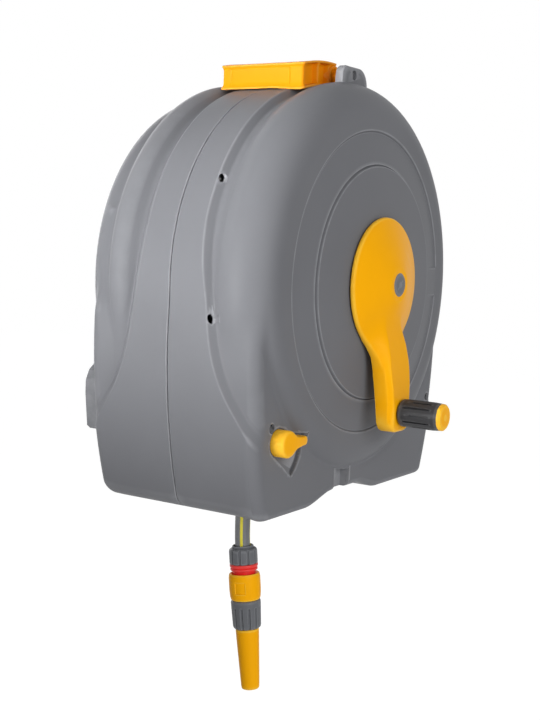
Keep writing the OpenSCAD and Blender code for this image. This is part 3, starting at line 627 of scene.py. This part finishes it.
def low_arc(x, r):
    """Points at x on the lower half of a circle round the drum axis."""
    return np.stack([x, -np.sqrt(r * r - x * x)], 1)


def box_outline(x0, x1, z0, z1):
    """Corners of a rectangle."""
    return [(x0, z0), (x1, z0), (x1, z1), (x0, z1)]


def notch_cutter(sign, more):
    """The notch in the lower edge under the round face."""
    top = low_arc(np.linspace(NOTCH_X, NOTCH_X + NOTCH_W, 12), notch_top(more))
    outline = np.vstack([top, [[NOTCH_X + NOTCH_W, -260.0], [NOTCH_X, -260.0]]])
    return loft("notch", prism(outline, sign * (block_front(more) - NOTCH_DEEP), sign * 150.0))


def notch_liner(sign, more):
    """Walls of the notch, just inside the opening that is cut in the shell: back, two sides and top."""
    inset, thick = 0.4, 3.0
    low, high, deep = NOTCH_X + inset, NOTCH_X + NOTCH_W - inset, block_front(more)
    back = deep - NOTCH_DEEP + inset
    x, r = np.linspace(low - thick, high + thick, 12), notch_top(more) + inset
    over = np.vstack([low_arc(x, r), low_arc(x, r - 9.0)[::-1]])
    parts = [(box_outline(low - thick, high + thick, -221.6, -194.0), back - thick, back)]
    for edge, grow in ((low, -thick), (high, thick)):
        for foot, near, far in ((-221.4, back - thick, deep - 5.0), (-216.0, deep - 5.2, deep - 0.7)):
            parts.append((box_outline(edge, edge + grow, foot, -198.0), near, far))
    parts.append((over, back - thick, deep - 6.5))
    return [loft("liner", prism(shape, sign * a, sign * b)) for shape, a, b in parts]


def arc(cx, cz, r, a0, a1, n):
    """Points along an arc between two angles in degrees."""
    a = np.radians(np.linspace(a0, a1, n))
    return np.stack([cx + r * np.cos(a), cz + r * np.sin(a)], 1)


def fan_outline(grow=0.0):
    """Shallow fan under the pointer of the lock lever, with the round seat of its hub."""
    wide = arc(LOCK_X, LOCK_Z, 46.0 + grow, -53.5 - 1.2 * grow, 7.0 + 1.2 * grow, 44)
    waist = [arc(LOCK_X, LOCK_Z, r + 0.3 * grow, a + g * grow, a + g * grow, 1)
             for r, a, g in ((36.0, 10.0, 1.5), (26.0, 17.0, 2.0), (19.0, 34.0, 2.0))]
    seat = arc(LOCK_X, LOCK_Z, 15.4 + grow, 62.0, 250.0, 28)
    return np.vstack([wide, *waist, seat])


def slot_cutter():
    """Curved slot along the wide end of the fan."""
    outline = np.vstack([arc(LOCK_X, LOCK_Z, 46.2, -53.8, 4.0, 36), arc(LOCK_X, LOCK_Z, 39.0, 4.0, -51.0, 36)])
    return loft("slot", prism(outline, BLOCK_D - 5.6, BLOCK_D + 14.0))


def low_hole(side, sign):
    """Screw hole in the lower block."""
    outline = circle(LOW_HOLE_X * side, LOW_HOLE_Z, LOW_HOLE_R)
    return loft("hole", prism(outline, sign * 60.0, sign * 150.0))


def fan_cutter():
    """Opening for the fan."""
    return loft("fan", prism(fan_outline(1.0), BLOCK_D - 9.0, BLOCK_D + 14.0))


def fan_pad():
    """Sunk floor and walls of the fan, set in the opening that is cut in the shell."""
    (x, z), (wide_x, wide_z) = fan_outline().T, fan_outline(3.4).T
    top = hit(x.shape, 80.0, 125.0, lambda d: shell_field(x, z, d, 0.0) < 0, 24) - 0.35
    piece = loft("pad", [to_row(x, z, BLOCK_D - 1.9), to_row(x, z, top),
                         to_row(wide_x, wide_z, np.minimum(top, BLOCK_D + 4.0) - 0.2),
                         to_row(wide_x, wide_z, BLOCK_D - 7.5)])
    cut(piece, [slot_cutter(), low_hole(-1.0, 1.0)])
    return piece


def outlet_cutter():
    """Opening in the underside for the hose."""
    p = circle(EXIT_X, EXIT_D, 15.0, 48)
    return loft("outlet", [to_row(p[:, 0], h, p[:, 1]) for h in (-210.0, -250.0)])


def oval(cx, cz, out, thin, wide, n=40):
    """Oval round a point, thin along the direction out."""
    a = np.linspace(0.0, 2.0 * math.pi, n, endpoint=False)
    u, v = math.cos(out), math.sin(out)
    p, q = thin * np.cos(a), wide * np.sin(a)
    return np.stack([cx + p * u - q * v, cz + p * v + q * u], 1)


def screw_cutters(sign):
    """Open ends of the screw holes, on the slope of the band and on the lower block."""
    tools = []
    for side in (-1.0, 1.0):
        high = math.radians(90.0 - 60.8 * side)
        for x, z, low, top in ((206.9 * math.cos(high), 206.9 * math.sin(high), 27.0, 46.0),
                               (207.4 * side, -35.6, 38.0, 58.0)):
            out = math.atan2(z if z > 0 else 0.0, x)
            tools.append(loft("hole", prism(oval(x, z, out, 2.7, 5.0), sign * low, sign * top)))
        tools.append(low_hole(side, sign))
    return tools


def ear(sign):
    """Ear of the carry handle with its pin hole, standing on the shoulder."""
    left, right = circle(-8.0, 221.5, 10.0, 64), circle(18.5, 212.5, 19.0, 64)
    root = [[-19.0, 212.0], [-22.0, 204.0], [-27.0, 194.0], [46.0, 188.0], [41.0, 198.0], [38.4, 206.0]]
    pts = np.vstack([right[0:17], left[14:33], root])
    centre = np.array([PIN_X, 212.0])
    way = pts - centre
    away = np.linalg.norm(way, axis=1)[:, None]
    rows = []
    for inset, depth in ((9.0, 66.0), (1.6, 66.0), (0.4, 66.5), (0.0, 67.6), (0.0, 73.2), (0.7, 75.1),
                         (2.6, 76.0), (9.0, 76.0)):
        p = centre + way * (away - inset) / away
        rows.append(to_row(p[:, 0], p[:, 1], sign * depth))
    piece = loft("ear", rows)
    cut(piece, [loft("pin_hole", prism(circle(PIN_X, PIN_Z, 4.05), sign * 40.0, sign * 90.0)),
                loft("pin_mouth", prism(circle(PIN_X, PIN_Z, 5.2), sign * 72.9, sign * 90.0))])
    return piece


def strap(side):
    """Loop on the back that hangs on a hook of the bracket."""
    x, z0, z1 = 70.0 * side, 76.0, 106.0
    rows = []
    for inset, depth in ((4.0, -143.0), (1.0, -143.0), (0.0, -142.0), (0.0, -116.0)):
        w = 20.0 - inset
        p = np.array(box_outline(x - w, x + w, z0 + inset, z1 - inset))
        rows.append(to_row(p[:, 0], p[:, 1], depth))
    piece = loft("strap", rows)
    cut(piece, [loft("hook_slot", prism(box_outline(x - 15.3, x + 15.3, 60.0, 100.3), -138.3, -131.7))])
    return piece


def add_housing():
    """The two half shells, each with its openings cut before the pieces that overlap it are joined on."""
    front = add_shell("front_housing", 1.0, 0.0)
    cut(front, [*screw_cutters(1.0), fan_cutter(), notch_cutter(1.0, 0.0), outlet_cutter()])
    join(front, [ear(1.0), *notch_liner(1.0, 0.0), fan_pad()])
    shade(front, 40.0)
    place(front, "housing", "grey_housing", "front_shell")
    rear = add_shell("rear_housing", -1.0, REAR_MORE)
    cut(rear, [notch_cutter(-1.0, REAR_MORE)])
    join(rear, [ear(-1.0), strap(-1.0), strap(1.0), *notch_liner(-1.0, REAR_MORE)])
    shade(rear, 40.0)
    place(rear, "housing", "grey_housing", "rear_shell")


add_housing()


# ---------------------------------------------------------------- crank and lever

def polar_outline(field, th):
    """Radius at which each ray from the middle leaves a flat shape."""
    return hit(th.shape, 1.0, 260.0, lambda q: field(q * np.cos(th), q * np.sin(th)) < 0, 30)


def rounded_fall(radius, inset):
    """How far a rounded edge lies below the top, inset from its outline."""
    return radius - math.sqrt(max(0.0, radius * radius - (radius - inset) ** 2))


CRANK = 136.0  # from the drum axis to the grip axis
ARM_END = 157.0
CRANK_DISC, CRANK_EDGE = 71.0, 3.2  # radius of the round plate, and rounding of its edge


def arm_half(z):
    """Half width of the crank's arm."""
    return np.interp(-z, [0.0, 40.0, 71.0, 90.0, 131.0, 160.0], [38.0, 36.0, 30.5, 26.0, 21.6, 21.0])


def crank_field(x, z):
    """Below zero inside the crank's outline: the round plate joined to the arm."""
    across = np.abs(x) - arm_half(z)
    along = np.maximum(-z - ARM_END, z)
    return soft_min(np.hypot(x, z) - CRANK_DISC, round_max(across, along, 13.0), 16.0)


def crank_top(x, z):
    """Height of the front of the crank: a shallow dome with the arm rising out of it."""
    r = np.hypot(x, z)
    dome = np.interp(r, [0, 18, 26, 40, 55, 66, 72], [146.2, 146.2, 144.2, 140.2, 135.2, 131.2, 128.8])
    top = np.interp(-z, [-80, 20, 40, 52, 64, 80, 106, 126, 160],
                    [100, 128.0, 138.5, 143.5, 147.5, 151.0, 154.6, 156.0, 156.0])
    out = np.abs(x) - arm_half(z) + np.interp(-z, [40.0, 90.0], [20.0, 5.0])
    steep = np.interp(-z, [40.0, 62.0, 90.0], [0.5, 1.0, 2.6])
    arm = top - steep * np.where(out > 0, out * out / (out + 4.0), 0.0)
    return -soft_min(-dome, -arm, 9.0)


def crank_under(z):
    """Height of the back of the crank."""
    return np.interp(-z, [0.0, 60.0, 78.0, CRANK, 160.0], [125.0, 125.0, 130.5, 136.0, 137.0])


def add_crank():
    """Crank: rows of points from its middle over the edge to its back."""
    th = np.radians(np.concatenate([np.arange(-150.0, -30.0, 0.8), np.arange(-30.0, 210.0, 2.5)]))
    edge = polar_outline(crank_field, th)
    c, s = np.cos(th), np.sin(th)
    rows = []
    for t in np.concatenate([np.linspace(0.02, 0.9, 46), np.linspace(0.92, 0.995, 5)]):
        q = (edge - CRANK_EDGE) * t
        rows.append(to_row(q * c, q * s, crank_top(q * c, q * s)))
    inner = edge - CRANK_EDGE
    for e in (CRANK_EDGE, 2.3, 1.5, 0.8, 0.3, 0.0):
        q = edge - e
        rows.append(to_row(q * c, q * s, crank_top(inner * c, inner * s) - rounded_fall(CRANK_EDGE, e)))
    for e, lift in ((0.0, 1.4), (0.4, 0.5), (1.3, 0.0), (12.0, 0.0)):
        q = edge - e
        rows.append(to_row(q * c, q * s, crank_under(edge * s) + lift))
    crank = loft("crank", rows, 50.0)
    place(crank, "drum", "yellow_plastic", "crank_arm")


LEVER_REACH, LEVER_HUB, LEVER_EDGE = 33.5, 13.5, 3.0
LEVER_UNDER, LEVER_TOP = 102.0, 117.0  # distances from the seam
POINTER_LIFT, POINTER_SLOPE = 1.8, 2.5  # room between the pointer and the block, and fall of its top


def lever_field(x, z):
    """Below zero inside the lever's outline: a round hub and a pointer."""
    t = np.clip(x / LEVER_REACH, 0.0, 1.0)
    pointer = np.hypot(x - LEVER_REACH * t, z) - (4.6 + 6.4 * (1.0 - t) ** 2)
    return soft_min(np.hypot(x, z) - LEVER_HUB, pointer, 5.0)


def add_lever():
    """Lock lever: rows of points from its underside over the edge to the middle of its top."""
    th = np.radians(np.concatenate([np.arange(-40.0, 40.0, 0.8), np.arange(40.0, 320.0, 4.0)]))
    edge = polar_outline(lever_field, th)
    c, s = np.cos(th), np.sin(th)
    under = LEVER_UNDER + POINTER_LIFT * smooth(13.9, 15.2, edge)
    rows = [(edge - 4.0, under), (edge, under)]
    for e in (0.0, 0.25, 0.9, 1.8, LEVER_EDGE):
        q = edge - e
        rows.append((q, LEVER_TOP - rounded_fall(LEVER_EDGE, e) - POINTER_SLOPE * smooth(10.0, 41.0, q * c)))
    for t in (0.85, 0.65, 0.4, 0.15):
        q = (edge - LEVER_EDGE) * t
        rows.append((q, LEVER_TOP + 0.3 - POINTER_SLOPE * smooth(10.0, 41.0, q * c)))
    pts = [to_row(LOCK_X + q * c, LOCK_Z + q * s, d) for q, d in rows]
    lever = loft("lever", pts, 50.0)
    place(lever, "lock", "yellow_plastic", "lock_lever")


add_crank()
add_lever()


# ---------------------------------------------------------------- carry handle

HANDLE_FRONT, HANDLE_END, HANDLE_HALF, HANDLE_FAR = -60.0, 8.0, 52.0, 55.2  # beam, ends of the arms, half widths
HAND_FRONT, HAND_HALF = -28.0, 40.0  # hand gap
HANDLE_H = 25.0


def handle_path():
    """Outer line of the handle in plan, from one arm round the beam to the other: (x, d) and the way outward."""
    front, half, far, r = HANDLE_FRONT, HANDLE_HALF, HANDLE_FAR, 5.0
    pts, out = [], []
    for x in np.linspace(HANDLE_END, front + r, 150, endpoint=False):
        pts.append((x, -far))
        out.append((0.0, -1.0))
    for a in np.radians(np.linspace(0.0, 90.0, 10, endpoint=False)):
        pts.append((front + r - r * math.sin(a), -far + r - r * math.cos(a)))
        out.append((-math.sin(a), -math.cos(a)))
    for d in np.linspace(-far + r, half - r, 120, endpoint=False):
        pts.append((front, d))
        out.append((-1.0, 0.0))
    for a in np.radians(np.linspace(90.0, 0.0, 10, endpoint=False)):
        pts.append((front + r - r * math.sin(a), half - r + r * math.cos(a)))
        out.append((-math.sin(a), math.cos(a)))
    for x in np.linspace(front + r, HANDLE_END, 151):
        pts.append((x, half))
        out.append((0.0, 1.0))
    return np.array(pts), np.array(out)


def pulse(v, a, b, soft=0.5):
    """One between a and b, with steep soft sides."""
    return smooth(a - soft, a + soft, v) * (1.0 - smooth(b - soft, b + soft, v))


def add_handle():
    """Carry handle: a beam and two arms with flared lips, and pockets in the sides of the arms."""
    pts, out = handle_path()
    x, d = pts[:, 0], pts[:, 1]
    arm = np.abs(out[:, 1]) > 0.99
    pocket = np.where(arm, pulse(x, -53.0, -27.5) + pulse(x, -24.5, -4.5), 0.0)
    groove = np.where(arm, 0.0, pulse(d, -42.0, -41.2, 0.3) + pulse(d, 33.0, 33.8, 0.3))
    web = -2.2 - 6.3 * pocket - 0.5 * groove
    low, high = 211.6 - 2.2 * smooth(8.0, 50.0, d), 236.4
    lip = 0.0 * web
    section = [(lip, -0.5, 0.0), (lip, 0.0, 0.4), (lip, 0.0, 1.4), (lip, -0.6, 2.1), (web, 0.9, 3.1),
               (web, 0.2, 4.6), (web, 0.0, 7.0), (web, 0.0, 18.0), (web, 0.2, 20.4), (web, 0.9, 21.9),
               (lip, -0.6, 22.9), (lip, 0.0, 23.6), (lip, 0.0, 24.6), (lip, -0.5, HANDLE_H)]

    def bent(px, pd, h):
        """Points at height h in the handle's section, which is bent over the rim."""
        r = low + (high - low) * h / HANDLE_H
        return to_row(px, np.sqrt(r * r - px * px), pd)

    rows = [bent(x + (wall + more) * out[:, 0], d + (wall + more) * out[:, 1], h) for wall, more, h in section]
    for step, h in ((0.7, HANDLE_H), (0.0, 24.3), (0.0, 0.7), (0.7, 0.0)):
        rows.append(bent(np.maximum(x, HAND_FRONT - step), np.clip(d, -HAND_HALF - step, HAND_HALF + step), h))
    handle = loft("handle", np.array(rows).transpose(1, 0, 2), 35.0)
    eyes = []
    for sign in (-1.0, 1.0):
        radii = (7.0, 10.6, 11.0, 11.0, 10.6, 9.0, 9.0, 8.5, 6.0)
        at = (40.2, 40.2, 40.8, 51.3, 51.9, 51.9, 63.4, 63.9, 63.9)
        shapes = [circle(PIN_X, PIN_Z, r, 48) for r in radii]
        eyes.append(loft("eye", [to_row(q[:, 0], q[:, 1], sign * a) for q, a in zip(shapes, at)]))
    join(handle, eyes)
    place(handle, "handle", "yellow_plastic", "carry_handle")
    # The handle takes the darker copy of the yellow: painted shade
    handle.data.materials[0] = HANDLE_SHADED_YELLOW


add_handle()


# ---------------------------------------------------------------- hose end

# Axes and top of the hose end in the row frame
FIT_SIDE = np.array([1.0, 0.0, 0.0])
FIT_DOWN = np.array([0.0, -math.sin(HANG), -math.cos(HANG)])
FIT_OTHER = np.cross(FIT_DOWN, FIT_SIDE)
FIT_AT = to_row(np.array(EXIT_X), np.array(NUT_Z), np.array(FIT_D))


def turned(name, profile, relief=None, sides=240):
    """A turned piece of the hose end from (s, r) points; relief(s, angle) is taken off the radius."""
    a = np.linspace(0.0, 2.0 * math.pi, sides, endpoint=False)
    out = np.cos(a)[:, None] * FIT_SIDE + np.sin(a)[:, None] * FIT_OTHER
    rows = []
    for s, r in profile:
        q = r - (relief(s, a) if relief else 0.0) + 0.0 * a
        rows.append(FIT_AT + MM * (s * FIT_DOWN + q[:, None] * out))
    return loft(name, rows, 35.0)


def flutes(a, count, width):
    """Soft round grooves, count of them round the piece; width is a share of the spacing."""
    u = (a * count / (2.0 * math.pi)) % 1.0
    return np.clip(1.0 - (np.abs(u - 0.5) / (0.5 * width)) ** 4, 0.0, 1.0)


def fine(points, step=0.8):
    """More points along a profile."""
    out = []
    for (s0, r0), (s1, r1) in zip(points, points[1:]):
        n = max(1, int(math.hypot(s1 - s0, r1 - r0) / step))
        out += [(s0 + (s1 - s0) * k / n, r0 + (r1 - r0) * k / n) for k in range(n)]
    return out + [points[-1]]


def window(a):
    """Two flat windows on opposite sides of the collar."""
    out = 0.0 * a
    for middle in (165.0, 345.0):
        turn = np.degrees((a - math.radians(middle) + math.pi) % (2.0 * math.pi) - math.pi)
        out = out + pulse(turn, -19.0, 19.0, 1.2)
    return out


# Outlines of the turned pieces as (distance down from the top of the nut, radius)
NUT = [(6.0, 8.0), (1.2, 9.4), (0.2, 10.0), (0.0, 10.6), (0.4, 11.1), (1.8, 11.5), (2.4, 12.0), (3.4, 13.6),
       (4.6, 14.6), (6.0, 14.9), (18.0, 14.9), (18.8, 14.6), (19.0, 14.0), (19.0, 9.0)]
RED_RING = [(10.5, 6.0), (10.5, 10.5), (19.2, 10.5), (19.2, 14.0), (19.5, 14.6), (20.0, 14.9), (21.6, 14.9),
            (22.2, 14.6), (22.5, 13.9), (23.2, 13.7), (23.7, 14.2), (24.2, 14.4), (25.5, 14.3), (26.0, 13.7),
            (26.15, 12.0), (54.0, 12.0), (54.0, 9.0), (36.0, 9.0), (36.0, 6.0)]
COLLAR = [(31.0, 12.4), (29.4, 14.0), (29.3, 15.2), (29.8, 15.8), (31.4, 16.3), (34.0, 16.6), (46.0, 16.6),
          (50.0, 16.4), (54.0, 16.0), (56.2, 15.4), (57.0, 14.6), (57.0, 12.4)]
NOZZLE_GRIP = [(37.5, 6.0), (37.5, 8.4), (57.4, 8.4), (57.4, 14.0), (57.8, 14.9), (58.8, 15.6), (60.0, 15.8),
               (64.0, 15.6), (84.5, 14.8), (86.4, 14.2), (87.3, 13.2), (87.4, 9.2), (106.0, 9.0), (106.0, 6.0)]
BARREL = [(109.0, 9.1), (88.0, 9.1), (87.8, 11.0), (88.2, 12.0), (89.4, 12.3), (98.0, 12.0), (140.0, 10.1),
          (148.0, 9.7), (150.6, 9.4), (151.6, 8.8), (152.0, 8.0), (151.8, 6.4), (150.6, 5.2), (148.0, 4.4),
          (142.0, 4.4), (138.0, 7.0), (110.0, 7.0)]


def nut_relief(s, a):
    """Flutes of the nut, below its round top."""
    return 1.5 * smooth(3.4, 4.8, s) * flutes(a, 10, 0.3)


def collar_relief(s, a):
    """Flat windows of the collar."""
    return 0.75 * pulse(s, 37.5, 49.0, 0.35) * window(a)


def grip_relief(s, a):
    """Flutes of the nozzle's grip, up to its lower edge."""
    return 1.5 * smooth(64.0, 66.2, s) * (s < 87.35) * flutes(a, 12, 0.34)


def add_hose_end():
    """Nut, connector, collar and nozzle on the loose end of the hose; returns them in that order."""
    nut = turned("nut", fine(NUT), nut_relief)
    place(nut, "housing", "grey_fitting", "hose_nut")
    body = turned("red_ring", fine(RED_RING), sides=96)
    place(body, "housing", "red_plastic", "connector_body")
    collar = turned("collar", fine(COLLAR, 0.6), collar_relief)
    place(collar, "collar", "yellow_plastic", "connector_collar")
    grip = turned("nozzle_grip_ring", fine(NOZZLE_GRIP, 0.6), grip_relief)
    place(grip, "housing", "grey_fitting", "nozzle_grip")
    barrel = turned("nozzle_tube", fine(BARREL, 1.2), sides=120)
    place(barrel, "barrel", "yellow_plastic", "nozzle_barrel")
    return [nut, body, collar, grip, barrel]


add_hose(add_hose_end())


# ---------------------------------------------------------------- wound hose

def add_wound_hose():
    """The hose on the drum: a full outer layer of turns over the ridges of the layer below."""
    turns, pitch, reach = 7, 16.4, 155.0
    t = np.linspace(0.0, turns * 2.0 * math.pi, turns * 48 + 1)
    path = to_row(reach * np.cos(t), reach * np.sin(t), -0.5 * turns * pitch + pitch * t / (2.0 * math.pi))
    rows = []
    for point, angle in zip(path, t):
        out = np.array([math.cos(angle), 0.0, math.sin(angle)])
        side = np.array([0.0, -1.0, 0.0])
        rows.append([point + MM * HOSE_R * (math.cos(a) * out + math.sin(a) * side)
                     for a in np.linspace(0.0, 2.0 * math.pi, 14, endpoint=False)])
    coil = loft("wound_turns", rows, 60.0)
    ridges = [(d, 140.0 + 6.5 * abs(math.cos(math.pi * d / pitch))) for d in np.linspace(-64.0, 64.0, 81)]
    profile = [(-65.0, 60.0), (-65.0, 138.0), *ridges, (65.0, 138.0), (65.0, 60.0)]
    a = np.linspace(0.0, 2.0 * math.pi, 72, endpoint=False)
    core = loft("wound_core", [to_row(r * np.cos(a), r * np.sin(a), d) for d, r in profile], 50.0)
    join(coil, [core])
    place(coil, "drum", "hose", "wound_hose")


add_wound_hose()


# ---------------------------------------------------------------- stage and light

FLOOR_Z, FLOOR_HALF = -0.80, 6.0
FLOOR_GLOW, FLOOR_SHARE = 1.19, 0.80  # brightness of the floor's own white, and its share in what is seen
WORLD_LIGHT, WORLD_SEEN = 0.22, 1.0  # what the world gives as light, and what is seen of it
# Name, place, aim, size, power and spread of each lamp
LAMPS = [
    ("key", (-0.93, 0.06, 0.06), (-0.2, -0.16, 0.12), (0.5, 0.5), 1.4, 38.0),
    ("fill", (-1.1, -2.1, 0.3), (-0.05, -0.2, -0.05), (1.4, 1.4), 28.0, 180.0),
    ("top", (0.2, -0.3, 2.2), (0.0, -0.15, 0.0), (1.6, 1.6), 5.0, 180.0),
    ("back", (1.0, 1.7, 0.6), (0.0, -0.1, 0.0), (1.4, 1.4), 16.0, 180.0),
]


def add_area(name, place_at, aim, size, power, spread):
    """A soft rectangular lamp."""
    data = bpy.data.lights.new(name, "AREA")
    data.shape = "RECTANGLE"
    data.size, data.size_y = size
    data.energy = power
    data.spread = math.radians(spread)
    lamp = bpy.data.objects.new(name, data)
    bpy.context.scene.collection.objects.link(lamp)
    lamp.location = place_at
    lamp.rotation_euler = (Vector(aim) - Vector(place_at)).to_track_quat("-Z", "Y").to_euler()


def seen(nodes, links):
    """One for rays from the camera, and for mirror and glass rays, so that they show the same background."""
    path = nodes.new("ShaderNodeLightPath")
    total = path.outputs["Is Camera Ray"]
    for kind in ("Is Glossy Ray", "Is Transmission Ray"):
        add = nodes.new("ShaderNodeMath")
        add.operation = "ADD"
        add.use_clamp = True
        links.new(total, add.inputs[0])
        links.new(path.outputs[kind], add.inputs[1])
        total = add.outputs[0]
    return total


def add_stage():
    """Plain pale floor, part of whose white is its own so that it meets the background, and which takes shadow."""
    corners = [(x, y, FLOOR_Z) for x, y in box_outline(-FLOOR_HALF, FLOOR_HALF, -FLOOR_HALF, FLOOR_HALF)]
    mesh = bpy.data.meshes.new("floor")
    mesh.from_pydata(corners, [], [(0, 1, 2, 3)])
    floor = bpy.data.objects.new("floor", mesh)
    bpy.context.scene.collection.objects.link(floor)
    mat, nodes, links, bsdf = new_material("floor")
    bsdf.inputs["Base Color"].default_value = (0.9, 0.9, 0.9, 1.0)
    bsdf.inputs["Roughness"].default_value = 0.9
    glow = nodes.new("ShaderNodeEmission")
    glow.inputs["Strength"].default_value = FLOOR_GLOW
    share = nodes.new("ShaderNodeMath")
    share.operation = "MULTIPLY"
    share.inputs[1].default_value = FLOOR_SHARE
    links.new(seen(nodes, links), share.inputs[0])
    mix = nodes.new("ShaderNodeMixShader")
    links.new(share.outputs[0], mix.inputs["Fac"])
    links.new(bsdf.outputs[0], mix.inputs[1])
    links.new(glow.outputs[0], mix.inputs[2])
    links.new(mix.outputs[0], nodes["Material Output"].inputs["Surface"])
    mesh.materials.append(mat)


def add_world():
    """White to look at, and a weaker even light on the object."""
    scene = bpy.context.scene
    world = bpy.data.worlds.new("studio")
    scene.world = world
    world.use_nodes = True
    nodes, links = world.node_tree.nodes, world.node_tree.links
    sky = nodes["Background"]
    sky.inputs["Color"].default_value = (1.0, 1.0, 1.0, 1.0)
    span = nodes.new("ShaderNodeMapRange")
    span.inputs["To Min"].default_value = WORLD_LIGHT
    span.inputs["To Max"].default_value = WORLD_SEEN
    links.new(seen(nodes, links), span.inputs["Value"])
    links.new(span.outputs["Result"], sky.inputs["Strength"])
    scene.view_settings.view_transform = "Standard"


add_stage()
add_world()
for lamp_row in LAMPS:
    add_area(*lamp_row)
